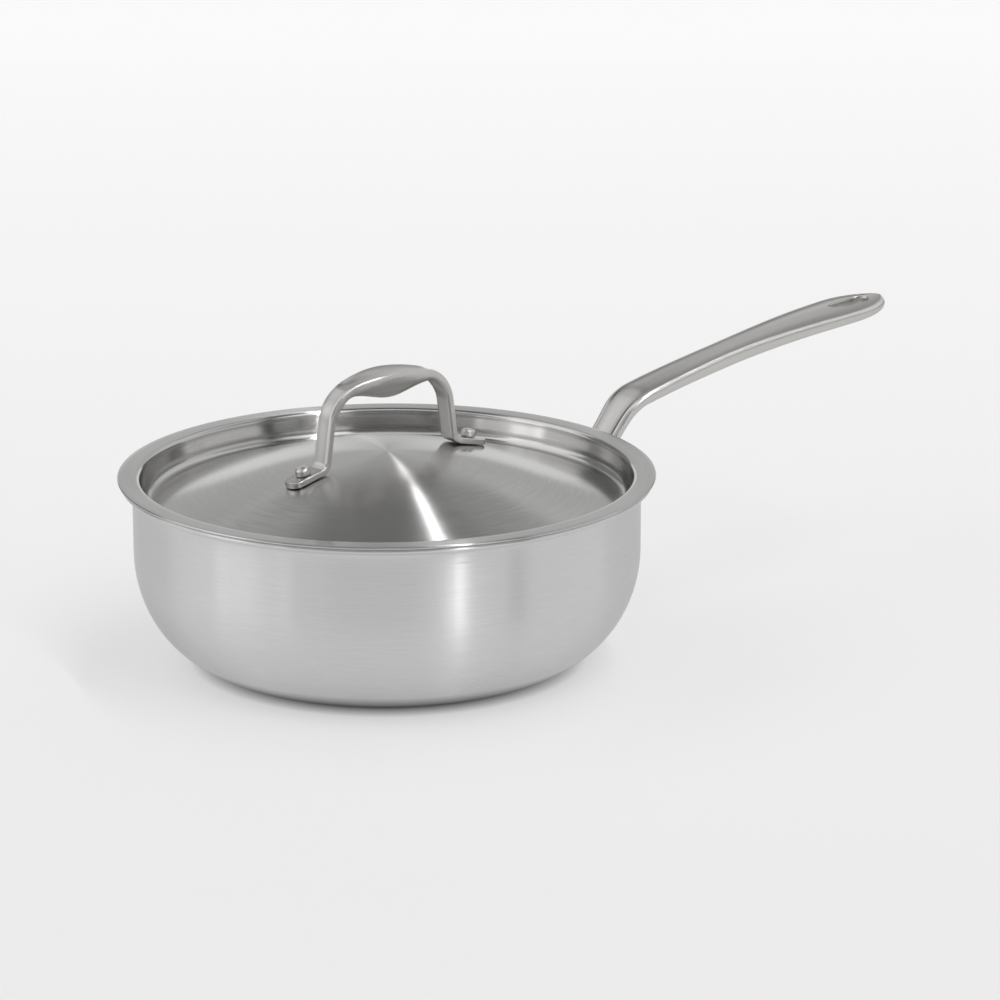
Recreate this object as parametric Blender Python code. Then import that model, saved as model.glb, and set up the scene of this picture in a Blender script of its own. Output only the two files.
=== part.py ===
"""Saucier with a lid: a clad steel pan with a cast handle, and a domed lid with a strap handle.

The origin is the centre of the base, on the surface that the pan stands on. +Z is up and +X runs
along the long handle. Everything is in metres.
"""

import math

import bmesh
import bpy
from mathutils import Matrix, Vector

MM = 0.001

# Pan body, clad sheet drawn in one piece
PAN_WALL = 2.3 * MM
PAN_OUTER_RADIUS = 113.4 * MM
BASE_FLAT_RADIUS = 69.6 * MM
CORNER_HEIGHT = 51.3 * MM
PAN_HEIGHT = 84.1 * MM
LIP_WIDTH = 5.4 * MM
LIP_BEND_RADIUS = 3.2 * MM

# Lid, one thin sheet that hangs by its flat ring on the lip of the pan
LID_SHEET = 1.0 * MM
LID_SEAT_GAP = 0.3 * MM
LID_OVERHANG = 1.2 * MM
LID_WALL_CLEARANCE = 0.4 * MM
LID_RING_BEND = 2.2 * MM
LID_WALL_TAPER = 1.6 * MM
LID_GROOVE_DEPTH = 12.2 * MM
LID_GROOVE_FILLET = 3.6 * MM
DOME_SLOPE = math.radians(17.0)
DOME_ROUND_RADIUS = 63.0 * MM

# Long handle, along the line of its upper edge
NECK_ROOT_HEIGHT = 58.1 * MM
NECK_ANGLE = math.radians(49.3)
NECK_LENGTH = 40.0 * MM
NECK_BEND_LENGTH = 17.5 * MM
GRIP_ANGLE = math.radians(12.2)
GRIP_ARCH_LENGTH = 120.0 * MM
TIP_ANGLE = math.radians(3.7)
TIP_LENGTH = 44.5 * MM
TIP_ROUNDING = 27.0 * MM
HANDLE_RIM_RADIUS = 1.1 * MM
HANDLE_RIM_HEIGHT = 2.4 * MM

# Section of the long handle at the root, the neck, the bend, the waist and the swell near the tip
ROOT_FLARE_LENGTH = 9.0 * MM
ROOT_HALF_WIDTH = 10.4 * MM
ROOT_DEPTH = 9.0 * MM
NECK_HALF_WIDTH = 8.9 * MM
NECK_DEPTH = 7.0 * MM
BEND_HALF_WIDTH = 10.7 * MM
BEND_DEPTH = 8.0 * MM
WAIST_HALF_WIDTH = 10.0 * MM
WAIST_DEPTH = 8.7 * MM
SWELL_HALF_WIDTH = 15.5 * MM
SWELL_DEPTH = 7.8 * MM
NECK_DISH = 0.4 * MM
GRIP_DISH = 2.2 * MM
SWELL_CROWN = 0.9 * MM

# Hole near the tip, to hang the pan by
HANG_HOLE_LENGTH = 24.0 * MM
HANG_HOLE_WIDTH = 10.1 * MM
HANG_HOLE_FROM_TIP = 21.0 * MM

# Pad at the root of the long handle, which follows the wall of the pan and takes in three rivets
PAD_GAP = 0.3 * MM
PAD_THICKNESS = 3.2 * MM
PAD_CORNER = 7.0 * MM
PAD_TOP_MARGIN = 9.5 * MM
PAD_SIDE_MARGIN = 7.5 * MM
PAD_FOOT_MARGIN = 8.0 * MM
PAD_FOOT_WIDTH = 20.0 * MM

# Rivets through the pad and the wall of the pan, clear of the neck and of the lid's groove
PAN_RIVET_SHANK_RADIUS = 2.5 * MM
PAN_RIVET_HEAD_RADIUS = 5.2 * MM
PAN_RIVET_HEAD_HEIGHT = 1.8 * MM
PAN_RIVET_TAIL_RADIUS = 4.2 * MM
PAN_RIVET_TAIL_HEIGHT = 2.2 * MM
RIVET_NECK_CLEARANCE = 1.0 * MM
RIVET_GROOVE_CLEARANCE = 3.5 * MM

# Strap handle of the lid, along the line of its outer face from the middle of the top
STRAP_TOP_HEIGHT = 46.8 * MM
STRAP_TOP_DROP = math.radians(13.0)
STRAP_BEND_RADIUS = 20.0 * MM
STRAP_LEG_ANGLE = math.radians(82.0)
STRAP_ANKLE_RADIUS = 3.5 * MM
STRAP_RIM_RADIUS = 0.9 * MM
STRAP_RIM_HEIGHT = 2.2 * MM
STRAP_LEG_THICKNESS = 3.5 * MM
STRAP_LEG_HALF_WIDTH = 4.5 * MM
STRAP_TOP_HALF_WIDTH = 8.7 * MM
STRAP_BELLY_DEPTH = 12.4 * MM
STRAP_DISH = 1.3 * MM
FOOT_THICKNESS = 2.7 * MM
FOOT_HALF_WIDTH = 5.0 * MM
FOOT_GAP = 0.3 * MM
FOOT_OVERHANG = 9.5 * MM
FOOT_SETBACK = 6.1 * MM

# Rivets through the feet and the sheet of the lid
LID_RIVET_SPACING = 95.0 * MM
LID_RIVET_SHANK_RADIUS = 1.6 * MM
LID_RIVET_HEAD_RADIUS = 3.3 * MM
LID_RIVET_HEAD_HEIGHT = 4.2 * MM
LID_RIVET_TAIL_RADIUS = 3.2 * MM
LID_RIVET_TAIL_HEIGHT = 1.1 * MM

# Clearances of the rivets: a flat head on a curved wall touches it only near the head's edge
PAN_RIVET_SEAT_GAP = 0.5 * MM
RIVET_SEAT_GAP = 0.3 * MM
RIVET_HOLE_CLEARANCE = 0.3 * MM

# How finely round shapes are divided
TURNED_STEPS = 48
RIVET_STEPS = 14
ARC_STEP = math.radians(18.0)
CORNER_STEP = math.radians(7.5)
DOME_STEP = math.radians(2.7)
RIVET_ARC_STEP = math.radians(30.0)
STATION_SPACING = 7.0 * MM
TIP_SHARES = (0.3, 0.55, 0.75, 0.88, 0.97, 0.995)
FOOT_SHARES = (0.35, 0.65, 0.85, 0.97)

# Places that follow from the sizes above
LIP_OUTER_RADIUS = PAN_OUTER_RADIUS + LIP_WIDTH
PAN_INNER_RADIUS = PAN_OUTER_RADIUS - PAN_WALL
LID_RING_RADIUS = LIP_OUTER_RADIUS + LID_OVERHANG
LID_RING_TOP = PAN_HEIGHT + LID_SEAT_GAP + LID_SHEET
LID_WALL_RADIUS = PAN_INNER_RADIUS - LID_WALL_CLEARANCE - LID_SHEET
GROOVE_CENTRE_RADIUS = LID_WALL_RADIUS - LID_WALL_TAPER - LID_GROOVE_FILLET
LID_GROOVE_BOTTOM = LID_RING_TOP - LID_GROOVE_DEPTH - LID_SHEET
GRIP_START = NECK_LENGTH + NECK_BEND_LENGTH
HANDLE_LENGTH = GRIP_START + GRIP_ARCH_LENGTH + TIP_LENGTH
PAD_REACH = PAD_GAP + PAD_THICKNESS
NECK_TOP_AT_PAD = NECK_ROOT_HEIGHT + PAD_REACH * math.tan(NECK_ANGLE)
NECK_FOOT_AT_PAD = NECK_TOP_AT_PAD - ROOT_DEPTH / math.cos(NECK_ANGLE)
RIVET_NECK_DISTANCE = RIVET_NECK_CLEARANCE + PAN_RIVET_TAIL_RADIUS
UPPER_RIVET_OFFSET = ROOT_HALF_WIDTH + RIVET_NECK_DISTANCE
UPPER_RIVET_HEIGHT = LID_GROOVE_BOTTOM - RIVET_GROOVE_CLEARANCE - PAN_RIVET_HEAD_RADIUS
LOWER_RIVET_HEIGHT = NECK_FOOT_AT_PAD - RIVET_NECK_DISTANCE
PAD_TOP = UPPER_RIVET_HEIGHT + PAD_TOP_MARGIN
PAD_BOTTOM = LOWER_RIVET_HEIGHT - PAD_FOOT_MARGIN
PAD_TOP_WIDTH = 2 * (UPPER_RIVET_OFFSET + PAD_SIDE_MARGIN)


def clear_scene():
    for obj in list(bpy.data.objects):
        bpy.data.objects.remove(obj, do_unlink=True)


def steel(name, colour, roughness):
    """A metal material with one colour and one roughness."""
    material = bpy.data.materials.new(name)
    material.use_nodes = True
    shader = material.node_tree.nodes["Principled BSDF"]
    shader.inputs["Base Color"].default_value = (*colour, 1.0)
    shader.inputs["Metallic"].default_value = 1.0
    shader.inputs["Roughness"].default_value = roughness
    material.diffuse_color = (*colour, 1.0)
    return material


def arc(centre_x, centre_z, radius_x, radius_z, start, end, step=ARC_STEP):
    """Points on an ellipse's arc in the XZ plane, both ends included."""
    count = max(2, round(abs(end - start) / step))
    points = []
    for index in range(count + 1):
        angle = start + (end - start) * index / count
        points.append((centre_x + radius_x * math.cos(angle), centre_z + radius_z * math.sin(angle)))
    return points


def without_repeats(points):
    kept = [points[0]]
    for point in points[1:]:
        if math.dist(point, kept[-1]) > 1e-6:
            kept.append(point)
    return kept


def object_from(bm, name, material):
    """Makes the bmesh an object of this name, with its faces pointing out."""
    bmesh.ops.recalc_face_normals(bm, faces=bm.faces[:])
    mesh = bpy.data.meshes.new(name)
    bm.to_mesh(mesh)
    bm.free()
    mesh.shade_smooth()
    mesh.set_sharp_from_angle(angle=math.radians(35.0))
    obj = bpy.data.objects.new(name, mesh)
    bpy.context.scene.collection.objects.link(obj)
    if material is not None:
        mesh.materials.append(material)
    return obj


def turned(name, outline, steps, material=None):
    """Spins an outline of (radius, height) points around Z. Both ends of the outline lie on the axis."""
    bm = bmesh.new()
    corners = [bm.verts.new((x, 0.0, z)) for x, z in without_repeats(outline)]
    edges = [bm.edges.new(pair) for pair in zip(corners, corners[1:])]
    bmesh.ops.spin(
        bm,
        geom=corners + edges,
        cent=(0.0, 0.0, 0.0),
        axis=(0.0, 0.0, 1.0),
        angle=math.tau,
        steps=steps,
    )
    bmesh.ops.remove_doubles(bm, verts=bm.verts[:], dist=1e-6)
    return object_from(bm, name, material)


def lofted(name, rings, material=None):
    """Joins rings of points one after the other and closes both ends."""
    bm = bmesh.new()
    loops = [[bm.verts.new(point) for point in ring] for ring in rings]
    count = len(loops[0])
    for ring, following in zip(loops, loops[1:]):
        for index in range(count):
            after = (index + 1) % count
            bm.faces.new((ring[index], ring[after], following[after], following[index]))
    bm.faces.new(loops[0])
    bm.faces.new(loops[-1])
    return object_from(bm, name, material)


def combine(obj, other, operation):
    """Adds an exact Boolean with another object, and keeps that one out of the model."""
    modifier = obj.modifiers.new(f"{operation.lower()}_{other.name}", "BOOLEAN")
    modifier.operation = operation
    modifier.object = other
    other.hide_render = True
    other.display_type = "WIRE"


def pan_outline(outside, wall):
    """The pan's section, moved out by a distance and with a given wall."""
    radius = PAN_OUTER_RADIUS + outside
    bend = LIP_BEND_RADIUS
    bend_height = PAN_HEIGHT - PAN_WALL - bend
    lip_radius = LIP_OUTER_RADIUS + outside
    corner_x = BASE_FLAT_RADIUS
    down, level, up = -math.pi / 2, 0.0, math.pi / 2
    width = radius - corner_x
    height = CORNER_HEIGHT + outside
    outer = [(0.0, -outside)]
    outer += arc(corner_x, CORNER_HEIGHT, width, height, down, level, CORNER_STEP)
    outer += arc(radius + bend, bend_height, bend, bend, math.pi, up)
    outer += [(lip_radius, bend_height + bend), (lip_radius, bend_height + bend + wall)]
    inner = arc(radius + bend, bend_height, bend + wall, bend + wall, up, math.pi)
    inner += arc(corner_x, CORNER_HEIGHT, width - wall, height - wall, level, down, CORNER_STEP)
    inner += [(0.0, wall - outside)]
    return outer + inner


def wall_radius(height):
    """Outer radius of the pan at a height on its wall or its corner."""
    below = max(0.0, CORNER_HEIGHT - height) / CORNER_HEIGHT
    return BASE_FLAT_RADIUS + (PAN_OUTER_RADIUS - BASE_FLAT_RADIUS) * math.sqrt(1.0 - below**2)


def wall_tilt(height):
    """Angle by which the pan's outer surface faces downwards at a height."""
    step = 0.1 * MM
    return math.atan((wall_radius(height + step) - wall_radius(height - step)) / (2 * step))


def dome_round():
    """Radius of the dome's round middle, and its height above the ring at the axis."""
    groove_x = GROOVE_CENTRE_RADIUS - LID_GROOVE_FILLET * math.sin(DOME_SLOPE)
    groove_z = LID_GROOVE_FILLET * (1.0 - math.cos(DOME_SLOPE)) - LID_GROOVE_DEPTH
    shoulder = groove_z + (groove_x - DOME_ROUND_RADIUS) * math.tan(DOME_SLOPE)
    radius = DOME_ROUND_RADIUS / math.sin(DOME_SLOPE)
    return radius, shoulder + radius * (1.0 - math.cos(DOME_SLOPE))


def lid_surface(inset):
    """The lid's upper surface from its edge to the axis, or the same surface moved down into the sheet."""
    bend = LID_RING_BEND - inset
    fillet = LID_GROOVE_FILLET + inset
    wall_x = LID_WALL_RADIUS + LID_RING_BEND
    lean = math.atan(LID_WALL_TAPER / (LID_GROOVE_DEPTH - LID_RING_BEND - LID_GROOVE_FILLET))
    round_radius, apex = dome_round()
    up = math.pi / 2
    points = [(LID_RING_RADIUS, -inset)]
    points += arc(wall_x, -LID_RING_BEND, bend, bend, up, math.pi + lean / 2)
    groove_z = LID_GROOVE_FILLET - LID_GROOVE_DEPTH
    points += arc(GROOVE_CENTRE_RADIUS, groove_z, fillet, fillet, lean / 2, -up - DOME_SLOPE)
    dome = round_radius - inset
    points += arc(0.0, apex - round_radius, dome, dome, up - DOME_SLOPE, up, DOME_STEP)
    return [(x, z + LID_RING_TOP) for x, z in points]


def dome_height(radius):
    """Height of the lid's upper surface at a radius on its round middle."""
    round_radius, apex = dome_round()
    return LID_RING_TOP + apex - round_radius + math.sqrt(round_radius**2 - radius**2)


class Path:
    """A line in the XZ plane, drawn as straight runs and arcs from a start point and a heading."""

    def __init__(self, x, z, heading):
        self.places = [(0.0, x, z, heading)]

    def run(self, length, turn=0.0):
        """Goes on for a length, and turns by an angle on the way."""
        along, x, z, heading = self.places[-1]
        pieces = max(1, math.ceil(length / STATION_SPACING), math.ceil(abs(turn) / ARC_STEP))
        step = length / pieces
        for _ in range(pieces):
            middle = heading + turn / pieces / 2
            x += step * math.cos(middle)
            z += step * math.sin(middle)
            heading += turn / pieces
            along += step
            self.places.append((along, x, z, heading))

    def round_off(self, length, shares):
        """Goes on in ever shorter steps, so that a rounded end keeps its shape."""
        done = 0.0
        for share in shares:
            reach = length * math.sin(share * math.pi / 2)
            self.run(reach - done)
            done = reach

    def end(self):
        return self.places[-1]


def between(stations, along):
    """Values at a distance, eased from one station to the next."""
    if along <= stations[0][0]:
        return stations[0][1:]
    for low, high in zip(stations, stations[1:]):
        if along <= high[0]:
            share = (along - low[0]) / (high[0] - low[0])
            eased = share * share * (3.0 - 2.0 * share)
            return [a + (b - a) * eased for a, b in zip(low[1:], high[1:])]
    return stations[-1][1:]


def grip_section(half_width, depth, dish, rim_radius, rim_height, hull):
    """One ring of a cast grip as (across, up) points: a dished top, a rounded rim and a hull below.

    With hull at 0 the ring is a flat strap with rounded edges, and with hull at 1 a full hull.
    """
    rim = min(rim_radius, half_width / 3, depth / 3)
    top = [
        (0.0, -dish),
        ((half_width - rim) * 0.5, -dish * 0.78),
        (half_width - rim * 1.9, -dish * 0.3),
        (half_width - rim, 0.0),
        (half_width - rim * 0.3, -rim * 0.3),
        (half_width, -rim),
    ]
    strap = [
        (half_width, rim - depth),
        (half_width - rim * 0.3, rim * 0.3 - depth),
        (half_width * 0.5, -depth),
        (0.0, -depth),
    ]
    edge = min(rim_height, depth - rim)
    below = depth - edge
    belly = [
        (half_width - rim * 0.3, -edge),
        (half_width * 0.80, -edge - below * 0.55),
        (half_width * 0.45, -edge - below * 0.90),
        (0.0, -depth),
    ]
    lower = [(s[0] + (b[0] - s[0]) * hull, s[1] + (b[1] - s[1]) * hull) for s, b in zip(strap, belly)]
    half = top + lower
    other = [(-across, height) for across, height in reversed(half[1:-1])]
    return half + other


def placed(section, x, z, heading):
    """A section set across a path: its up direction is square to the path."""
    up_x, up_z = -math.sin(heading), math.cos(heading)
    return [(x + up * up_x, across, z + up * up_z) for across, up in section]


def make_pan_body(material):
    return turned("pan_body", pan_outline(0.0, PAN_WALL), TURNED_STEPS, material)


def handle_line(tip_run):
    """The upper edge of the long handle, from the wall of the pan to a distance along its tip."""
    path = Path(PAN_OUTER_RADIUS, NECK_ROOT_HEIGHT, NECK_ANGLE)
    path.run(NECK_LENGTH)
    path.run(NECK_BEND_LENGTH, GRIP_ANGLE - NECK_ANGLE)
    path.run(GRIP_ARCH_LENGTH, TIP_ANGLE - GRIP_ANGLE)
    path.run(tip_run)
    return path


def handle_stations():
    """Half width, depth and dish of the long handle, each at a distance along its upper edge."""
    neck_end = NECK_LENGTH * 0.85
    bend_end = GRIP_START + NECK_BEND_LENGTH * 0.25
    waist = GRIP_START + GRIP_ARCH_LENGTH * 0.42
    swell = HANDLE_LENGTH - TIP_ROUNDING * 0.75
    return [
        (0.0, ROOT_HALF_WIDTH, ROOT_DEPTH, 0.0),
        (ROOT_FLARE_LENGTH, NECK_HALF_WIDTH, NECK_DEPTH, NECK_DISH),
        (neck_end, NECK_HALF_WIDTH, NECK_DEPTH, NECK_DISH),
        (bend_end, BEND_HALF_WIDTH, BEND_DEPTH, GRIP_DISH),
        (waist, WAIST_HALF_WIDTH, WAIST_DEPTH, GRIP_DISH),
        (swell, SWELL_HALF_WIDTH, SWELL_DEPTH, -SWELL_CROWN),
    ]


def make_handle_grip(material):
    """The long handle's neck and grip, lofted along its upper edge to a rounded tip."""
    path = handle_line(TIP_LENGTH - TIP_ROUNDING)
    path.round_off(TIP_ROUNDING, TIP_SHARES)
    stations = handle_stations()
    tip_start = HANDLE_LENGTH - TIP_ROUNDING
    rings = []
    for along, x, z, heading in path.places:
        half_width, depth, dish = between(stations, along)
        reach = max(0.0, along - tip_start) / TIP_ROUNDING
        narrowing = math.sqrt(1.0 - reach**2)
        half_width *= narrowing
        dish *= narrowing
        depth *= 0.7 + 0.3 * narrowing
        section = grip_section(half_width, depth, dish, HANDLE_RIM_RADIUS, HANDLE_RIM_HEIGHT, 1.0)
        rings.append(placed(section, x, z, heading))
    # One more ring inside the wall of the pan gives the union and the cut something to cut through
    _, x, z, heading = path.places[0]
    inward = PAN_WALL + PAD_REACH
    root = grip_section(ROOT_HALF_WIDTH, ROOT_DEPTH, 0.0, HANDLE_RIM_RADIUS, HANDLE_RIM_HEIGHT, 1.0)
    start_x = x - inward * math.cos(heading)
    start_z = z - inward * math.sin(heading)
    rings.insert(0, placed(root, start_x, start_z, heading))
    return lofted("pan_handle", rings, material)


def pad_blank():
    """A thick slab with the pad's outline, seen along X."""
    outline = []
    corners = [
        (PAD_TOP_WIDTH / 2, PAD_TOP, 1),
        (PAD_FOOT_WIDTH / 2, PAD_BOTTOM, -1),
    ]
    for half_width, height, side in corners:
        centre_y = half_width - PAD_CORNER
        centre_z = height - side * PAD_CORNER
        start = math.pi / 2 if side > 0 else 0.0
        outline += arc(centre_y, centre_z, PAD_CORNER, PAD_CORNER, start, start - math.pi / 2)
    outline += [(-y, z) for y, z in reversed(outline)]
    near, far = PAN_OUTER_RADIUS * 0.8, LIP_OUTER_RADIUS + LIP_WIDTH
    rings = [[(x, y, z) for y, z in outline] for x in (near, far)]
    return lofted("pad_blank", rings)


def make_pan_handle(material):
    """Neck and grip joined with the pad, cut to the pan's wall, with its holes."""
    handle = make_handle_grip(material)
    pad = pad_blank()
    shape = turned("pad_outer_shape", solid_pan_outline(PAD_REACH), TURNED_STEPS)
    combine(pad, shape, "INTERSECT")
    combine(handle, pad, "UNION")
    clearance = turned("pan_clearance", solid_pan_outline(PAD_GAP), TURNED_STEPS)
    combine(handle, clearance, "DIFFERENCE")
    combine(handle, hang_hole_cutter(), "DIFFERENCE")
    return handle


def solid_pan_outline(outside):
    """The outside of the pan's wall as a solid, up to the start of the lip."""
    radius = PAN_OUTER_RADIUS + outside
    top = PAN_HEIGHT - PAN_WALL - LIP_BEND_RADIUS
    outline = [(0.0, -outside)]
    width = radius - BASE_FLAT_RADIUS
    height = CORNER_HEIGHT + outside
    outline += arc(BASE_FLAT_RADIUS, CORNER_HEIGHT, width, height, -math.pi / 2, 0.0, CORNER_STEP)
    outline += [(radius, top), (0.0, top)]
    return outline


def hang_hole_cutter():
    """An upright slot with round ends, square to the grip at the tip."""
    _, x, z, heading = handle_line(TIP_LENGTH - HANG_HOLE_FROM_TIP).end()
    half_straight = (HANG_HOLE_LENGTH - HANG_HOLE_WIDTH) / 2
    radius = HANG_HOLE_WIDTH / 2
    outline = arc(half_straight, 0.0, radius, radius, -math.pi / 2, math.pi / 2)
    outline += arc(-half_straight, 0.0, radius, radius, math.pi / 2, math.pi * 1.5)
    reach = HANG_HOLE_LENGTH
    rings = [[(px, py, height) for px, py in outline] for height in (-reach, reach)]
    cutter = lofted("hang_hole_cutter", rings)
    cutter.location = (x, 0.0, z)
    cutter.rotation_euler = (0.0, -heading, 0.0)
    return cutter


def rivet_outline(shank, head, head_height, tail, tail_height, grip):
    """A set rivet on the Z axis: its head stands above Z = 0 and its tail below -grip."""
    head_side = head_height * 0.45
    tail_side = tail_height * 0.45
    up = math.pi / 2
    outline = [(0.0, -grip - tail_height)]
    outline += arc(0.0, -grip - tail_side, tail, tail_height - tail_side, -up, 0.0, RIVET_ARC_STEP)
    outline += [(tail, -grip), (shank, -grip), (shank, 0.0), (head, 0.0)]
    outline += arc(0.0, head_side, head, head_height - head_side, 0.0, up, RIVET_ARC_STEP)
    return outline


def hole_cutter(name, radius, reach):
    outline = [(0.0, -reach), (radius, -reach), (radius, reach), (0.0, reach)]
    return turned(name, outline, RIVET_STEPS)


def pan_rivet_places():
    """(angle around the pan, height) of the three rivets of the long handle."""
    side = math.asin(UPPER_RIVET_OFFSET / PAN_OUTER_RADIUS)
    return [(side, UPPER_RIVET_HEIGHT), (-side, UPPER_RIVET_HEIGHT), (0.0, LOWER_RIVET_HEIGHT)]


def outward_frame(angle, height, outside):
    """Turns the Z axis to point out of the pan's wall, at a place and distance outside it."""
    tilt = wall_tilt(height)
    turn = Matrix.Rotation(angle, 4, "Z") @ Matrix.Rotation(math.pi / 2 + tilt, 4, "Y")
    normal = turn @ Vector((0.0, 0.0, 1.0))
    radius = wall_radius(height)
    place = Vector((radius * math.cos(angle), radius * math.sin(angle), height))
    return Matrix.Translation(place + normal * outside) @ turn


def make_pan_rivets(material, pan_body, pan_handle):
    """Three rivets, each with its low round head inside the pan and its set tail on the pad."""
    grip = PAN_WALL + PAD_REACH + 2 * PAN_RIVET_SEAT_GAP
    outline = rivet_outline(
        PAN_RIVET_SHANK_RADIUS,
        PAN_RIVET_TAIL_RADIUS,
        PAN_RIVET_TAIL_HEIGHT,
        PAN_RIVET_HEAD_RADIUS,
        PAN_RIVET_HEAD_HEIGHT,
        grip,
    )
    outside = PAD_REACH + PAN_RIVET_SEAT_GAP
    for number, (angle, height) in enumerate(pan_rivet_places(), start=1):
        rivet = turned(f"handle_rivet_{number}", outline, RIVET_STEPS, material)
        rivet.matrix_world = outward_frame(angle, height, outside)
        hole_radius = PAN_RIVET_SHANK_RADIUS + RIVET_HOLE_CLEARANCE
        cutter = hole_cutter(f"handle_rivet_hole_{number}", hole_radius, grip)
        cutter.matrix_world = outward_frame(angle, height, 0.0)
        combine(pan_body, cutter, "DIFFERENCE")
        combine(pan_handle, cutter, "DIFFERENCE")


def make_lid_shell(material):
    outline = [(0.0, point[1]) if abs(point[0]) < 1e-9 else point for point in lid_surface(0.0)]
    under = [(0.0, point[1]) if abs(point[0]) < 1e-9 else point for point in lid_surface(LID_SHEET)]
    return turned("lid_shell", list(reversed(outline)) + under, TURNED_STEPS, material)


def foot_angle():
    """Downward slope of the dome where a rivet holds a foot."""
    round_radius, _ = dome_round()
    return math.asin(LID_RIVET_SPACING / 2 / round_radius)


def dome_frame(side, above):
    """Turns the Z axis square to the dome at a rivet, at a distance above the sheet."""
    x = side * LID_RIVET_SPACING / 2
    turn = Matrix.Rotation(side * foot_angle(), 4, "Y")
    normal = turn @ Vector((0.0, 0.0, 1.0))
    place = Vector((x, 0.0, dome_height(x)))
    return Matrix.Translation(place + normal * above) @ turn


def strap_sides(top_length):
    """The outer face of half of the strap with a given top, and where its bend, leg and ankle end."""
    path = Path(0.0, LID_RING_TOP + STRAP_TOP_HEIGHT, 0.0)
    path.run(top_length, -STRAP_TOP_DROP)
    bend = STRAP_LEG_ANGLE - STRAP_TOP_DROP
    path.run(STRAP_BEND_RADIUS * bend, -bend)
    bend_end = path.end()[0]
    ankle = STRAP_LEG_ANGLE - foot_angle()
    trial = Path(*path.end()[1:])
    trial.run(STRAP_ANKLE_RADIUS * ankle, ankle)
    seat = dome_frame(1, FOOT_GAP + FOOT_THICKNESS)
    normal = seat.to_3x3() @ Vector((0.0, 0.0, 1.0))
    leg = Vector((math.cos(STRAP_LEG_ANGLE), 0.0, -math.sin(STRAP_LEG_ANGLE)))
    above = Vector((trial.end()[1], 0.0, trial.end()[2])) - seat.translation
    path.run(-above.dot(normal) / leg.dot(normal))
    leg_end = path.end()[0]
    path.run(STRAP_ANKLE_RADIUS * ankle, ankle)
    return path, (bend_end, leg_end, path.end()[0])


def strap_top_length():
    """The length of half of the top that stands the legs at their setback from the rivets."""
    trials = (STRAP_BEND_RADIUS, STRAP_BEND_RADIUS * 1.5)
    reached = [strap_sides(length)[0].end()[1] for length in trials]
    gain = (reached[1] - reached[0]) / (trials[1] - trials[0])
    return trials[0] + (LID_RIVET_SPACING / 2 - FOOT_SETBACK - reached[0]) / gain


def make_lid_handle(material):
    """The lid's strap handle, lofted from one foot over the top to the other foot."""
    top_length = strap_top_length()
    path, (bend_end, leg_end, ankle_end) = strap_sides(top_length)
    path.run((FOOT_SETBACK + FOOT_OVERHANG) / math.cos(foot_angle()) - FOOT_HALF_WIDTH)
    tip_start = path.end()[0]
    path.round_off(FOOT_HALF_WIDTH, FOOT_SHARES)
    knuckle = top_length * 1.45
    knuckle_half_width = STRAP_LEG_HALF_WIDTH * 1.1
    knuckle_depth = STRAP_LEG_THICKNESS * 1.3
    stations = [
        (0.0, STRAP_TOP_HALF_WIDTH, STRAP_BELLY_DEPTH, STRAP_DISH, 1.0),
        (knuckle, knuckle_half_width, knuckle_depth, 0.0, 0.5),
        (bend_end, STRAP_LEG_HALF_WIDTH, STRAP_LEG_THICKNESS, 0.0, 0.0),
        (leg_end, STRAP_LEG_HALF_WIDTH, STRAP_LEG_THICKNESS, 0.0, 0.0),
        (ankle_end, FOOT_HALF_WIDTH, FOOT_THICKNESS, 0.0, 0.0),
    ]
    half = []
    for along, x, z, heading in path.places:
        half_width, depth, dish, hull = between(stations, along)
        reach = max(0.0, along - tip_start) / FOOT_HALF_WIDTH
        half_width *= math.sqrt(1.0 - reach**2)
        section = grip_section(half_width, depth, dish, STRAP_RIM_RADIUS, STRAP_RIM_HEIGHT, hull)
        half.append(placed(section, x, z, heading))
    mirrored = [[(-x, y, z) for x, y, z in ring] for ring in reversed(half[1:])]
    return lofted("lid_handle", mirrored + half, material)


def make_lid_rivets(material, lid_shell, lid_handle):
    """Two rivets, each with a tall round head on a foot and a flat tail under the lid."""
    grip = LID_SHEET + FOOT_GAP + FOOT_THICKNESS + 2 * RIVET_SEAT_GAP
    outline = rivet_outline(
        LID_RIVET_SHANK_RADIUS,
        LID_RIVET_HEAD_RADIUS,
        LID_RIVET_HEAD_HEIGHT,
        LID_RIVET_TAIL_RADIUS,
        LID_RIVET_TAIL_HEIGHT,
        grip,
    )
    above = FOOT_GAP + FOOT_THICKNESS + RIVET_SEAT_GAP
    for number, side in enumerate((1, -1), start=1):
        rivet = turned(f"lid_rivet_{number}", outline, RIVET_STEPS, material)
        rivet.matrix_world = dome_frame(side, above)
        hole_radius = LID_RIVET_SHANK_RADIUS + RIVET_HOLE_CLEARANCE
        cutter = hole_cutter(f"lid_rivet_hole_{number}", hole_radius, grip)
        cutter.matrix_world = dome_frame(side, 0.0)
        combine(lid_shell, cutter, "DIFFERENCE")
        combine(lid_handle, cutter, "DIFFERENCE")


def group_lid(names):
    """Parents the lid's pieces to an empty on the line that the lid lifts along."""
    empty = bpy.data.objects.new("lid_lift_axis", None)
    empty.location = (0.0, 0.0, LID_RING_TOP)
    bpy.context.scene.collection.objects.link(empty)
    bpy.context.view_layer.update()
    for name in names:
        piece = bpy.data.objects[name]
        world = piece.matrix_world.copy()
        piece.parent = empty
        piece.matrix_parent_inverse = empty.matrix_world.inverted()
        piece.matrix_world = world


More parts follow.
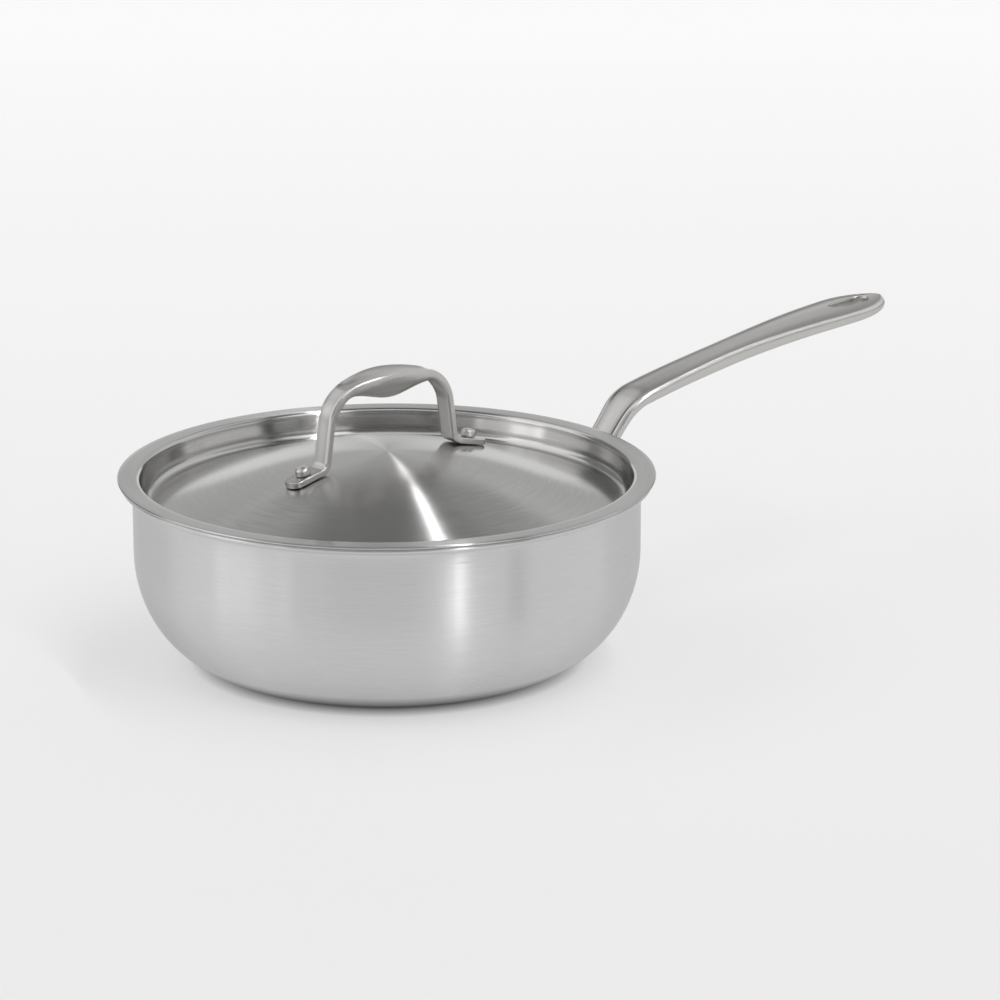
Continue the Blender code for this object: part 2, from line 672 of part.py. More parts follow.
def build():
    clear_scene()
    brushed = steel("brushed_steel", (0.58, 0.58, 0.59), 0.32)
    lid_steel = steel("lid_steel", (0.56, 0.56, 0.56), 0.28)
    cast = steel("satin_cast_steel", (0.50, 0.49, 0.47), 0.38)
    rivet_steel = steel("rivet_steel", (0.55, 0.55, 0.55), 0.22)
    pan_body = make_pan_body(brushed)
    pan_handle = make_pan_handle(cast)
    make_pan_rivets(rivet_steel, pan_body, pan_handle)
    lid_shell = make_lid_shell(lid_steel)
    lid_handle = make_lid_handle(cast)
    make_lid_rivets(rivet_steel, lid_shell, lid_handle)
    group_lid(["lid_shell", "lid_handle", "lid_rivet_1", "lid_rivet_2"])


build()
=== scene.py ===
# %% [markdown]
# # A saucier with its lid
# The real object is a deep steel pan with a curved foot, a long cast handle, and a thin domed lid
# that sits in the pan's mouth and has a cast strap to lift it by. This script dresses the packed
# model of it: each piece is modelled again, finer than its solid, and gets its finish. Everything
# is in metres. The origin is the centre of the base, +Z is up and +X runs along the long handle.

# %% Load the frame
import math

import bmesh
import bpy
from mathutils import Matrix, Vector


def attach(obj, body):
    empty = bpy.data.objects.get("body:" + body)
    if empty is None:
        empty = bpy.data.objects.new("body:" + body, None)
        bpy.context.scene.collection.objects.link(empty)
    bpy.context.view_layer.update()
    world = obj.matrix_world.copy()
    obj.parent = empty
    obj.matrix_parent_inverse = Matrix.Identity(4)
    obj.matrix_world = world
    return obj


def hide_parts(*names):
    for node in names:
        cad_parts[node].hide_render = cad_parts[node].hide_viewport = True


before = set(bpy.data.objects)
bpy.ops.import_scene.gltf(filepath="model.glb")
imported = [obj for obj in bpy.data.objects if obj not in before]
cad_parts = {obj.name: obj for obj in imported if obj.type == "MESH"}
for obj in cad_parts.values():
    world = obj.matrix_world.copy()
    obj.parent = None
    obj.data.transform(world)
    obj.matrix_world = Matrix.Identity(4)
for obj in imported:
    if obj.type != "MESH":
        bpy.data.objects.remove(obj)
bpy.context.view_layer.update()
MM = 0.001

# %% [markdown]
# ## Helpers
# Modelling by operators has two habits to keep: deselect everything before a new piece starts,
# and leave edit mode when it is done. Two helpers do both, a third welds and measures what was
# made, and the last one adds a modifier and applies it at once.

# %% Start and finish a piece
SMOOTH_ANGLE = math.radians(32.0)
WELD_DISTANCE = 0.001 * MM


def start_clean():
    if bpy.context.mode != "OBJECT":
        bpy.ops.object.mode_set(mode="OBJECT")
    bpy.ops.object.select_all(action="DESELECT")


def only(obj):
    """Makes this object the only one selected, and the active one."""
    start_clean()
    obj.select_set(True)
    bpy.context.view_layer.objects.active = obj


def finish_piece(obj, name, smooth_angle=SMOOTH_ANGLE):
    """Names a piece, puts its place in its mesh, welds it, points its faces out and smooths it."""
    only(obj)
    obj.name = name
    obj.data.name = name
    bpy.ops.object.transform_apply(location=True, rotation=True, scale=True)
    bpy.ops.object.mode_set(mode="EDIT")
    bpy.ops.mesh.select_all(action="SELECT")
    bpy.ops.mesh.remove_doubles(threshold=WELD_DISTANCE)
    bpy.ops.mesh.normals_make_consistent(inside=False)
    bpy.ops.object.mode_set(mode="OBJECT")
    bpy.ops.object.shade_smooth_by_angle(angle=smooth_angle)
    size = [round(value / MM, 1) for value in obj.dimensions]
    print(f"{name}: {len(obj.data.polygons)} faces, {size} mm")
    return obj


def apply_modifier(obj, kind, **settings):
    """Adds a modifier, sets it up and applies it at once."""
    only(obj)
    modifier = obj.modifiers.new(kind.lower(), kind)
    for key, value in settings.items():
        setattr(modifier, key, value)
    bpy.ops.object.modifier_apply(modifier=modifier.name)


print("most pieces are smooth below", round(math.degrees(SMOOTH_ANGLE)), "degrees")

# %% [markdown]
# ## Turned pieces
# The pan and the lid are pressed from round blanks, and rivets are cut from round wire. Each is
# the same all round, so it is drawn as one line, from the axis out and back to the axis, and spun.
# The line starts as a plane merged to one vertex, which is extruded from point to point.

# %% Draw a line and spin it
TURN_STEPS = 192
FINE_STEP = math.radians(4.0)


def arc(centre_x, centre_z, radius_x, radius_z, start, end, step=FINE_STEP):
    """Points on an ellipse's arc, both ends included."""
    count = max(2, round(abs(end - start) / step))
    points = []
    for index in range(count + 1):
        angle = start + (end - start) * index / count
        points.append((centre_x + radius_x * math.cos(angle), centre_z + radius_z * math.sin(angle)))
    return points


def straight(start, end, count):
    """Points between two others, without those two, so that long faces are not stretched."""
    shares = [index / count for index in range(1, count)]
    return [(start[0] + (end[0] - start[0]) * s, start[1] + (end[1] - start[1]) * s) for s in shares]


def turned(name, outline, steps=TURN_STEPS):
    """Spins an outline of (radius, height) points, both ends on the axis, around Z."""
    start_clean()
    first = outline[0]
    bpy.ops.mesh.primitive_plane_add(size=MM, location=(first[0], 0.0, first[1]), enter_editmode=True)
    bpy.ops.mesh.merge(type="CENTER")
    for here, there in zip(outline, outline[1:]):
        move = (there[0] - here[0], 0.0, there[1] - here[1])
        if math.hypot(move[0], move[2]) > WELD_DISTANCE:
            bpy.ops.mesh.extrude_region_move(TRANSFORM_OT_translate={"value": move})
    bpy.ops.mesh.select_all(action="SELECT")
    bpy.ops.mesh.spin(steps=steps, angle=math.tau, center=(0.0, 0.0, 0.0), axis=(0.0, 0.0, 1.0))
    bpy.ops.object.mode_set(mode="OBJECT")
    return finish_piece(bpy.context.view_layer.objects.active, name)


print("the pan and the lid have", TURN_STEPS, "faces around")

# %% [markdown]
# ## The body of the pan
# The real body is one drawn sheet. Its section has four parts: the flat base, the wide curve that
# a whisk can follow, the upright wall, and the flared lip that pours without dripping. The curve
# is an ellipse's quarter, because a circle's would meet the base or the wall with a kink.

# %% The pan's section
PAN_WALL = 2.3 * MM
PAN_RADIUS = 113.4 * MM
BASE_RADIUS = 69.6 * MM
CORNER_HEIGHT = 51.3 * MM
PAN_HEIGHT = 84.1 * MM
LIP_RADIUS = 118.8 * MM
LIP_BEND = 3.2 * MM
BASE_STEPS, WALL_STEPS = 8, 6
DOWN, LEVEL, UP = -math.pi / 2, 0.0, math.pi / 2


def pan_outline():
    bend_height = PAN_HEIGHT - PAN_WALL - LIP_BEND
    half_wall = PAN_WALL / 2
    edge_x = LIP_RADIUS - half_wall
    corner_width = PAN_RADIUS - BASE_RADIUS
    outside = [(0.0, 0.0)] + straight((0.0, 0.0), (BASE_RADIUS, 0.0), BASE_STEPS)
    outside += arc(BASE_RADIUS, CORNER_HEIGHT, corner_width, CORNER_HEIGHT, DOWN, LEVEL)
    outside += straight((PAN_RADIUS, CORNER_HEIGHT), (PAN_RADIUS, bend_height), WALL_STEPS)
    outside += arc(PAN_RADIUS + LIP_BEND, bend_height, LIP_BEND, LIP_BEND, math.pi, UP, 3 * FINE_STEP)
    edge = arc(edge_x, PAN_HEIGHT - half_wall, half_wall, half_wall, DOWN, UP, 5 * FINE_STEP)
    inner_bend = LIP_BEND + PAN_WALL
    inside = arc(PAN_RADIUS + LIP_BEND, bend_height, inner_bend, inner_bend, UP, math.pi, 3 * FINE_STEP)
    inner_radius = PAN_RADIUS - PAN_WALL
    inside += straight((inner_radius, bend_height), (inner_radius, CORNER_HEIGHT), WALL_STEPS)
    inner_width = corner_width - PAN_WALL
    inner_height = CORNER_HEIGHT - PAN_WALL
    inside += arc(BASE_RADIUS, CORNER_HEIGHT, inner_width, inner_height, LEVEL, DOWN)
    inside += straight((BASE_RADIUS, PAN_WALL), (0.0, PAN_WALL), BASE_STEPS)
    inside += [(0.0, PAN_WALL)]
    return outside + edge + inside


pan_shell = turned("pan_shell", pan_outline())

# %% [markdown]
# ## The sheet of the lid
# The lid is one thin sheet too: a flat ring that lies on the lip, a short wall that centres it in
# the mouth, a groove that collects the drops, and the dome. The upper surface is a line of arcs
# and straights, and the lower surface is the same line drawn one thickness further in.

# %% The lid's section
LID_SHEET = 1.0 * MM
RING_TOP = 85.4 * MM
RING_RADIUS = 120.0 * MM
RING_BEND = 2.2 * MM
LID_CLEARANCE = 0.4 * MM
LID_WALL_RADIUS = PAN_RADIUS - PAN_WALL - LID_CLEARANCE - LID_SHEET
WALL_TAPER = 1.6 * MM
GROOVE_DEPTH = 12.2 * MM
GROOVE_FILLET = 3.6 * MM
DOME_SLOPE = math.radians(17.0)
DOME_ROUND = 63.0 * MM
SHORT_STEPS, SLOPE_STEPS = 4, 10
GROOVE_CENTRE = LID_WALL_RADIUS - WALL_TAPER - GROOVE_FILLET
DOME_RADIUS = DOME_ROUND / math.sin(DOME_SLOPE)


def dome_apex():
    """Height of the middle of the dome above the ring."""
    groove_x = GROOVE_CENTRE - GROOVE_FILLET * math.sin(DOME_SLOPE)
    groove_z = GROOVE_FILLET * (1.0 - math.cos(DOME_SLOPE)) - GROOVE_DEPTH
    shoulder = groove_z + (groove_x - DOME_ROUND) * math.tan(DOME_SLOPE)
    return shoulder + DOME_RADIUS * (1.0 - math.cos(DOME_SLOPE))


def dome_height(radius):
    """Height of the dome's upper face above the base at a radius."""
    return RING_TOP + dome_apex() - DOME_RADIUS + math.sqrt(DOME_RADIUS**2 - radius**2)


def lid_surface(inset):
    """The upper surface from the ring's edge to the axis, moved down into the sheet by a distance."""
    bend = RING_BEND - inset
    fillet = GROOVE_FILLET + inset
    wall_x = LID_WALL_RADIUS + RING_BEND
    lean = math.atan(WALL_TAPER / (GROOVE_DEPTH - RING_BEND - GROOVE_FILLET))
    groove_z = GROOVE_FILLET - GROOVE_DEPTH
    dome = DOME_RADIUS - inset
    ring = arc(wall_x, -RING_BEND, bend, bend, UP, math.pi + lean / 2, 3 * FINE_STEP)
    groove = arc(GROOVE_CENTRE, groove_z, fillet, fillet, lean / 2, DOWN - DOME_SLOPE, 2 * FINE_STEP)
    middle = arc(0.0, dome_apex() - DOME_RADIUS, dome, dome, UP - DOME_SLOPE, UP, FINE_STEP / 5)
    edge_x = RING_RADIUS - LID_SHEET / 2
    points = straight((edge_x, -inset), ring[0], SHORT_STEPS) + ring
    points += straight(ring[-1], groove[0], SHORT_STEPS) + groove
    points += straight(groove[-1], middle[0], SLOPE_STEPS) + middle
    return [(max(x, 0.0), z + RING_TOP) for x, z in points]


def lid_outline():
    half_sheet = LID_SHEET / 2
    edge_place = (RING_RADIUS - half_sheet, RING_TOP - half_sheet)
    edge = arc(*edge_place, half_sheet, half_sheet, UP, DOWN, 8 * FINE_STEP)
    upper = [(0.0, RING_TOP + dome_apex())] + list(reversed(lid_surface(0.0)))[1:]
    lower = lid_surface(LID_SHEET)[:-1] + [(0.0, RING_TOP + dome_apex() - LID_SHEET)]
    return upper + edge + lower


lid_sheet = turned("lid_sheet", lid_outline())

# %% [markdown]
# ## Swept pieces
# Both handles are castings whose section changes along a line. A ring of vertices is extruded from
# station to station along that line and set to the section there, as a modeller who scales and
# turns each new ring would do, and subdivision then rounds the cage.

# %% Follow a line in the XZ plane
STATION_SPACING = 3.0 * MM
TURN_PER_STATION = math.radians(6.0)


def run(places, length, turn=0.0):
    """Adds (distance, x, z, heading) places to a line that goes on for a length and turns on the way."""
    along, x, z, heading = places[-1]
    count = max(1, math.ceil(length / STATION_SPACING), math.ceil(abs(turn) / TURN_PER_STATION))
    for _ in range(count):
        heading += turn / count / 2
        x += length / count * math.cos(heading)
        z += length / count * math.sin(heading)
        heading += turn / count / 2
        along += length / count
        places.append((along, x, z, heading))
    return places


def round_off(places, length, shares):
    """Goes on in ever shorter steps, so that a rounded end keeps its shape."""
    done = 0.0
    for share in shares:
        reach = length * math.sin(share * UP)
        run(places, reach - done)
        done = reach
    return places


def between(stations, along):
    """Values at a distance, eased from one station to the next."""
    if along <= stations[0][0]:
        return stations[0][1:]
    for low, high in zip(stations, stations[1:]):
        if along <= high[0]:
            share = (along - low[0]) / (high[0] - low[0])
            eased = share * share * (3.0 - 2.0 * share)
            return [a + (b - a) * eased for a, b in zip(low[1:], high[1:])]
    return stations[-1][1:]


print("stations at most", STATION_SPACING / MM, "mm apart")

# %% [markdown]
# Each ring also writes a number on its vertices, and the finish reads it later: it paints shade
# into the crease beside each rim and a highlight onto the rim. An extrusion gives the new vertices
# no fixed order, so each is found by the edge that joins it to its old one.

# %% Extrude a ring along stations
SAME_PLACE = 1e-7


def set_ring(bm, ring, points, painted_light):
    """Moves a ring to its points and writes its painted light there: shade in creases, highlight on rims.
    """
    layer = bm.verts.layers.float["painted_light"]
    for vertex, point, value in zip(ring, points, painted_light):
        vertex.co = point
        vertex[layer] = value


def extruded_ring(ring):
    """The selected vertices that an extrusion made, in the order of the ring they came from."""
    made = []
    for vertex in ring:
        others = [edge.other_vert(vertex) for edge in vertex.link_edges]
        made.append(next(other for other in others if other.select))
    return made


def swept(name, rings, painted_light_rings=None):
    """Extrudes a filled ring through a list of rings, each a list of points."""
    painted_light_rings = painted_light_rings or [[0.0] * len(ring) for ring in rings]
    start_clean()
    bpy.ops.mesh.primitive_circle_add(vertices=len(rings[0]), fill_type="NGON", enter_editmode=True)
    obj = bpy.context.edit_object
    bm = bmesh.from_edit_mesh(obj.data)
    # This layer carries the painted shade of the creases and the painted highlight of the rims.
    bm.verts.layers.float.new("painted_light")
    ring = list(bm.verts)
    set_ring(bm, ring, rings[0], painted_light_rings[0])
    places = [tuple(vertex.co) for vertex in ring]
    for points, painted_light in zip(rings[1:], painted_light_rings[1:]):
        bmesh.update_edit_mesh(obj.data)
        bpy.ops.mesh.extrude_region_move()
        bm = bmesh.from_edit_mesh(obj.data)
        left = [vertex for vertex in bm.verts if not vertex.select]
        old = [next(v for v in left if (v.co - Vector(place)).length < SAME_PLACE) for place in places]
        ring = extruded_ring(old)
        set_ring(bm, ring, points, painted_light)
        places = [tuple(vertex.co) for vertex in ring]
    bmesh.update_edit_mesh(obj.data)
    bpy.ops.object.mode_set(mode="OBJECT")
    obj.name = name
    return obj


print("ready to sweep")

# %% [markdown]
# ## The section of the castings
# A hand feels three things on these castings: a smooth top for the thumb, a narrow rim on each
# side, and a full belly below. A fine crease runs inside each rim. The cage has more rows of
# vertices where the shape turns quickly, at the rim and at the crease, so that subdivision keeps
# them crisp. A dish above 0 hollows the top and one below 0 crowns it, and with the belly at 0 the
# same cage makes the flat strap of the legs and feet.

# %% One ring of the cage
SIDE_HEIGHT = 2.6 * MM
# Shares of the colour painted at each rim: painted shade in the crease inside it, a painted highlight on
# its crest.
CREASE_PAINTED_SHADE = -0.34
RIM_PAINTED_HIGHLIGHT = 0.25


def casting_section(half_width, depth, dish, belly, rim_size):
    """One ring as (across, up) points, from the middle of the top round to the other side."""
    rim = min(rim_size, half_width / 3, depth / 3)
    shoulder = rim * 0.85
    crest = half_width - rim
    cove = crest - shoulder
    step = min(rim * 0.3, abs(dish))
    bowl = dish - step
    top = [
        (0.0, -dish),
        (cove * 0.42, -step - bowl * 0.82),
        (cove * 0.80, -step - bowl * 0.36),
        (cove, -step),
        (crest - rim * 0.30, -rim * 0.06),
        (crest, 0.0),
        (half_width - rim * 0.24, -rim * 0.42),
        (half_width - rim * 0.06, -rim * 0.60),
        (half_width, -shoulder),
    ]
    strap = [
        (half_width, -depth / 2),
        (half_width, shoulder - depth),
        (half_width - rim * 0.25, rim * 0.22 - depth),
        (half_width - rim, -depth),
        (half_width * 0.55, -depth),
        (half_width * 0.25, -depth),
        (0.0, -depth),
    ]
    edge = min(SIDE_HEIGHT, depth - rim)
    below = depth - edge
    hull = [
        (half_width, -(rim + edge) / 2),
        (half_width * 0.985, -edge),
        (half_width * 0.96, -edge - below * 0.2),
        (half_width * 0.88, -edge - below * 0.5),
        (half_width * 0.63, -edge - below * 0.82),
        (half_width * 0.33, -edge - below * 0.97),
        (0.0, -depth),
    ]
    lower = [(s[0] + (h[0] - s[0]) * belly, s[1] + (h[1] - s[1]) * belly) for s, h in zip(strap, hull)]
    half = top + lower
    return half + [(-across, up) for across, up in reversed(half[1:-1])]


def ring_painted_light(points, strength):
    """The painted light of each vertex of a ring: a painted highlight on the rims, painted shade in the
    creases beside them.
    """
    half = [0.0, 0.0, CREASE_PAINTED_SHADE * 0.5, CREASE_PAINTED_SHADE, CREASE_PAINTED_SHADE * 0.5, RIM_PAINTED_HIGHLIGHT, RIM_PAINTED_HIGHLIGHT, 0.0]
    half += [0.0] * (points // 2 + 1 - len(half))
    return [value * strength for value in half + half[-2:0:-1]]


def placed(section, x, z, heading):
    """A section set across a line: its up direction is square to the line."""
    up_x, up_z = -math.sin(heading), math.cos(heading)
    return [(x + up * up_x, across, z + up * up_z) for across, up in section]


print("points in a ring:", len(casting_section(10 * MM, 9 * MM, 2 * MM, 1.0, 1.1 * MM)))

# %% [markdown]
# ## The long handle
# The line of its upper edge leaves the wall at 49 degrees, bends to 12 degrees just above the
# height of the lip, and then arches slowly to the tip. It is narrow at the neck and full near the
# tip, where the hole for a hook is. The top is dished a little in the neck and crowned along the
# grip, most of all round the hole. The tip is rounded off as half an ellipse, in shorter steps.

# %% The line and the stations of the long handle
NECK_ROOT_HEIGHT = 58.1 * MM
NECK_ANGLE = math.radians(49.3)
NECK_LENGTH = 40.0 * MM
NECK_BEND_LENGTH = 17.5 * MM
GRIP_ANGLE = math.radians(12.2)
GRIP_ARCH_LENGTH = 120.0 * MM
TIP_ANGLE = math.radians(3.7)
TIP_LENGTH = 44.5 * MM
TIP_ROUNDING = 27.0 * MM
TIP_SHARES = (0.2, 0.4, 0.56, 0.7, 0.8, 0.88, 0.94, 0.98, 0.997)
HANDLE_RIM = 2.0 * MM
GRIP_CROWN = 0.4 * MM
TIP_CROWN = 0.9 * MM
TIP_THINNING = 0.3
GRIP_START = NECK_LENGTH + NECK_BEND_LENGTH
HANDLE_LENGTH = GRIP_START + GRIP_ARCH_LENGTH + TIP_LENGTH
# Each station is a distance along the line, half the width, the depth and the dish there.
HANDLE_STATIONS = [
    (0.0, 10.4 * MM, 9.0 * MM, 0.0),
    (9.0 * MM, 8.9 * MM, 7.0 * MM, 0.7 * MM),
    (NECK_LENGTH * 0.85, 8.9 * MM, 7.0 * MM, 0.7 * MM),
    (NECK_LENGTH + NECK_BEND_LENGTH * 0.70, 10.3 * MM, 7.7 * MM, 0.5 * MM),
    (GRIP_START + NECK_BEND_LENGTH * 0.10, 10.7 * MM, 8.0 * MM, -GRIP_CROWN),
    (GRIP_START + GRIP_ARCH_LENGTH * 0.42, 10.0 * MM, 8.7 * MM, -GRIP_CROWN),
    (HANDLE_LENGTH - TIP_ROUNDING * 0.75, 15.5 * MM, 7.8 * MM, -TIP_CROWN),
]


def handle_line(tip_run):
    """Places from the wall to some way into the tip."""
    places = run([(0.0, PAN_RADIUS, NECK_ROOT_HEIGHT, NECK_ANGLE)], NECK_LENGTH)
    run(places, NECK_BEND_LENGTH, GRIP_ANGLE - NECK_ANGLE)
    run(places, GRIP_ARCH_LENGTH, TIP_ANGLE - GRIP_ANGLE)
    return run(places, tip_run)


def handle_rings():
    places = round_off(handle_line(TIP_LENGTH - TIP_ROUNDING), TIP_ROUNDING, TIP_SHARES)
    tip_start = HANDLE_LENGTH - TIP_ROUNDING
    rings = []
    for along, x, z, heading in places:
        half_width, depth, dish = between(HANDLE_STATIONS, along)
        reach = max(0.0, along - tip_start) / TIP_ROUNDING
        narrowing = math.sqrt(1.0 - reach**2)
        depth *= 1.0 - TIP_THINNING + TIP_THINNING * narrowing
        section = casting_section(half_width * narrowing, depth, dish * narrowing, 1.0, HANDLE_RIM)
        rings.append(placed(section, x, z, heading))
    return rings


rings = handle_rings()
print("rings along the long handle:", len(rings))

# %% [markdown]
# The root needs a flat end inside the pad, so the first ring is slid back along the neck until it
# stands upright there. Rings that lie behind that end are left out. Two levels of subdivision then
# round the cage, and the modifier is applied, because the cuts that follow need its real faces.

# %% Sweep the grip
PAD_GAP = 0.3 * MM
PAD_THICKNESS = 3.2 * MM
PAD_REACH = PAD_GAP + PAD_THICKNESS
ROOT_DEPTH = PAD_THICKNESS * 0.45
ROOT_CLEARANCE = 1.5 * MM
CAGE_LEVELS = 2
# How strongly the handle's creases and rims are painted with shade and highlight.
HANDLE_PAINTED_LIGHT = 1.0


def slid_back(ring, heading, x):
    """The ring's points moved back along the heading to an upright plane."""
    slope = math.tan(heading)
    return [(x, py, pz - (px - x) * slope) for px, py, pz in ring]


root_x = PAN_RADIUS + PAD_GAP + ROOT_DEPTH
upright = slid_back(rings[0], NECK_ANGLE, root_x)
clear_x = root_x + ROOT_CLEARANCE
started = [ring for ring in rings if min(point[0] for point in ring) > clear_x]
handle_painted_light = [ring_painted_light(len(upright), HANDLE_PAINTED_LIGHT)] * (len(started) + 1)
long_handle = swept("long_handle", [upright] + started, handle_painted_light)
finish_piece(long_handle, "long_handle")
apply_modifier(long_handle, "SUBSURF", levels=CAGE_LEVELS, render_levels=CAGE_LEVELS)

# %% [markdown]
# The pad takes the pull of a full pan into three rivets: two beside the neck and one below it, all
# under the lid's wall. The photo hides it, so it has the form that such castings usually have. It
# is a slab with round corners, cut to the curve of the wall by two turned shapes: what lies inside
# the outer one stays, and what lies inside the inner one goes.

# %% The pad that follows the wall
RIVET_TAIL_RADIUS = 4.2 * MM
RIVET_HEAD_RADIUS = 5.2 * MM
RIVET_NECK_GAP = 1.0 * MM
RIVET_NECK_DISTANCE = RIVET_NECK_GAP + RIVET_TAIL_RADIUS
UPPER_RIVET_OFFSET = HANDLE_STATIONS[0][1] + RIVET_NECK_DISTANCE
RIVET_BELOW_LID = 3.5 * MM
UPPER_RIVET_HEIGHT = RING_TOP - GROOVE_DEPTH - LID_SHEET - RIVET_BELOW_LID - RIVET_HEAD_RADIUS
NECK_TOP_AT_PAD = NECK_ROOT_HEIGHT + PAD_REACH * math.tan(NECK_ANGLE)
NECK_FOOT_AT_PAD = NECK_TOP_AT_PAD - HANDLE_STATIONS[0][2] / math.cos(NECK_ANGLE)
LOWER_RIVET_HEIGHT = NECK_FOOT_AT_PAD - RIVET_NECK_DISTANCE
PAD_ABOVE_RIVETS, PAD_BELOW_RIVET, PAD_BESIDE_RIVETS = 9.5 * MM, 8.0 * MM, 7.5 * MM
PAD_TOP = UPPER_RIVET_HEIGHT + PAD_ABOVE_RIVETS
PAD_BOTTOM = LOWER_RIVET_HEIGHT - PAD_BELOW_RIVET
PAD_TOP_HALF_WIDTH = UPPER_RIVET_OFFSET + PAD_BESIDE_RIVETS
PAD_FOOT_HALF_WIDTH = 10.0 * MM
PAD_SLAB = (PAN_RADIUS * 0.8, PAN_RADIUS * 1.1)
PAD_CORNER = 7.0 * MM


def wall_shape(name, outside):
    """The outside of the pan up to the lip as a solid, moved out by a distance."""
    radius = PAN_RADIUS + outside
    top = PAN_HEIGHT - PAN_WALL - LIP_BEND
    width = radius - BASE_RADIUS
    outline = [(0.0, -outside)]
    outline += arc(BASE_RADIUS, CORNER_HEIGHT, width, CORNER_HEIGHT + outside, DOWN, LEVEL)
    outline += [(radius, top), (0.0, top)]
    return turned(name, outline)


def boolean(obj, other, operation):
    """Applies an exact Boolean and deletes the other object."""
    apply_modifier(obj, "BOOLEAN", object=other, operation=operation, solver="EXACT")
    bpy.data.objects.remove(other)


def rounded_corner(half_width, height, side):
    start = UP if side > 0 else LEVEL
    centre = (half_width - PAD_CORNER, height - side * PAD_CORNER)
    return arc(*centre, PAD_CORNER, PAD_CORNER, start, start + DOWN)


pad_half = rounded_corner(PAD_TOP_HALF_WIDTH, PAD_TOP, 1)
pad_half += rounded_corner(PAD_FOOT_HALF_WIDTH, PAD_BOTTOM, -1)
pad_outline = pad_half + [(-y, z) for y, z in reversed(pad_half)]
pad = swept("pad", [[(x, y, z) for y, z in pad_outline] for x in PAD_SLAB])
finish_piece(pad, "pad")
boolean(pad, wall_shape("pad_face", PAD_REACH), "INTERSECT")
boolean(pad, wall_shape("pad_back", PAD_GAP), "DIFFERENCE")
boolean(long_handle, pad, "UNION")

# %% [markdown]
# The hole for a hook is a slot with round ends and an eased upper edge. So its cutter is a stack
# of slots that narrows to a slight waist and widens above it. The cuts leave sharp edges. They are
# found by their angle and softened by one bevel, but for those of the very tip, whose rings lie
# too close for it.

# %% The hole for a hook
HOLE_LENGTH = 24.0 * MM
HOLE_WIDTH = 10.1 * MM
HOLE_FROM_TIP = 21.0 * MM
HOLE_EASE = 1.6 * MM
HOLE_WAIST = 0.4 * MM
CASTING_BEVEL = 0.4 * MM
SHARP_ANGLE = math.radians(58.0)
CASTING_SMOOTH = math.radians(50.0)

_, hole_x, hole_z, hole_heading = handle_line(TIP_LENGTH - HOLE_FROM_TIP)[-1]
hole_radius = HOLE_WIDTH / 2
half_straight = HOLE_LENGTH / 2 - hole_radius


def slot_ring(spread, height):
    """One ring of the cutter: a slot with round ends, wider by a spread, at a height."""
    radius = hole_radius + spread
    outline = arc(half_straight, 0.0, radius, radius, DOWN, UP)
    outline += arc(-half_straight, 0.0, radius, radius, UP, UP + math.pi)
    return [(x, y, height) for x, y in outline]


eased = arc(0.0, 0.0, HOLE_EASE, HOLE_EASE, 0.0, UP, 3 * FINE_STEP)
upper = [(HOLE_EASE - across, up - HOLE_EASE) for across, up in eased]
slot_levels = [(0.0, -HOLE_LENGTH)] + [(-HOLE_WAIST + spread, height) for spread, height in upper]
slot_levels.append((HOLE_EASE - HOLE_WAIST, HOLE_LENGTH))
slot = swept("slot", [slot_ring(spread, height) for spread, height in slot_levels])
slot.rotation_euler = (0.0, -hole_heading, 0.0)
slot.location = (hole_x, 0.0, hole_z + TIP_CROWN)
finish_piece(slot, "slot")
boolean(long_handle, slot, "DIFFERENCE")


def soften_cuts(obj, last_x):
    """Bevels the sharp edges that union and cuts left, but none past an X, where the tip's are."""
    only(obj)
    bpy.ops.object.mode_set(mode="EDIT")
    bpy.ops.mesh.select_mode(type="EDGE")
    bpy.ops.mesh.select_all(action="DESELECT")
    bpy.ops.mesh.edges_select_sharp(sharpness=SHARP_ANGLE)
    bm = bmesh.from_edit_mesh(obj.data)
    for edge in bm.edges:
        if edge.select and max(vertex.co.x for vertex in edge.verts) > last_x:
            edge.select_set(False)
    bm.select_flush_mode()
    print("edges softened:", sum(edge.select for edge in bm.edges))
    bmesh.update_edit_mesh(obj.data)
    bpy.ops.mesh.bevel(offset=CASTING_BEVEL, segments=3, clamp_overlap=False)
    bpy.ops.mesh.select_mode(type="VERT")
    bpy.ops.object.mode_set(mode="OBJECT")


soften_cuts(long_handle, hole_x + HOLE_LENGTH / 2 + 2 * HOLE_EASE)
finish_piece(long_handle, "long_handle", CASTING_SMOOTH)

# %% [markdown]
# ## The strap handle of the lid
# It is one casting too. Its thick top is dished for a finger above and rounded below, its legs are
# flat straps that splay a little, and its feet lie along the slope of the dome. Only one half is
# worked out, from the middle of the top to the end of a foot, and the rings are mirrored.

# %% The line of the strap
STRAP_TOP_HEIGHT = 46.8 * MM
STRAP_TOP_DROP = math.radians(13.0)
STRAP_BEND = 20.0 * MM
LEG_ANGLE = math.radians(82.0)
ANKLE_RADIUS = 3.5 * MM
FOOT_GAP = 0.3 * MM
FOOT_THICKNESS = 2.7 * MM
FOOT_HALF_WIDTH = 5.0 * MM
FOOT_SETBACK = 6.1 * MM
FOOT_OVERHANG = 9.5 * MM
FOOT_SHARES = (0.25, 0.45, 0.62, 0.77, 0.88, 0.96)
LID_RIVET_SPACING = 95.0 * MM
FOOT_ANGLE = math.asin(LID_RIVET_SPACING / 2 / DOME_RADIUS)


def dome_frame(side, above):
    """Turns the Z axis square to the dome at a rivet, at a distance above the sheet."""
    x = side * LID_RIVET_SPACING / 2
    turn = Matrix.Rotation(side * FOOT_ANGLE, 4, "Y")
    normal = turn @ Vector((0.0, 0.0, 1.0))
    return Matrix.Translation(Vector((x, 0.0, dome_height(x))) + normal * above) @ turn


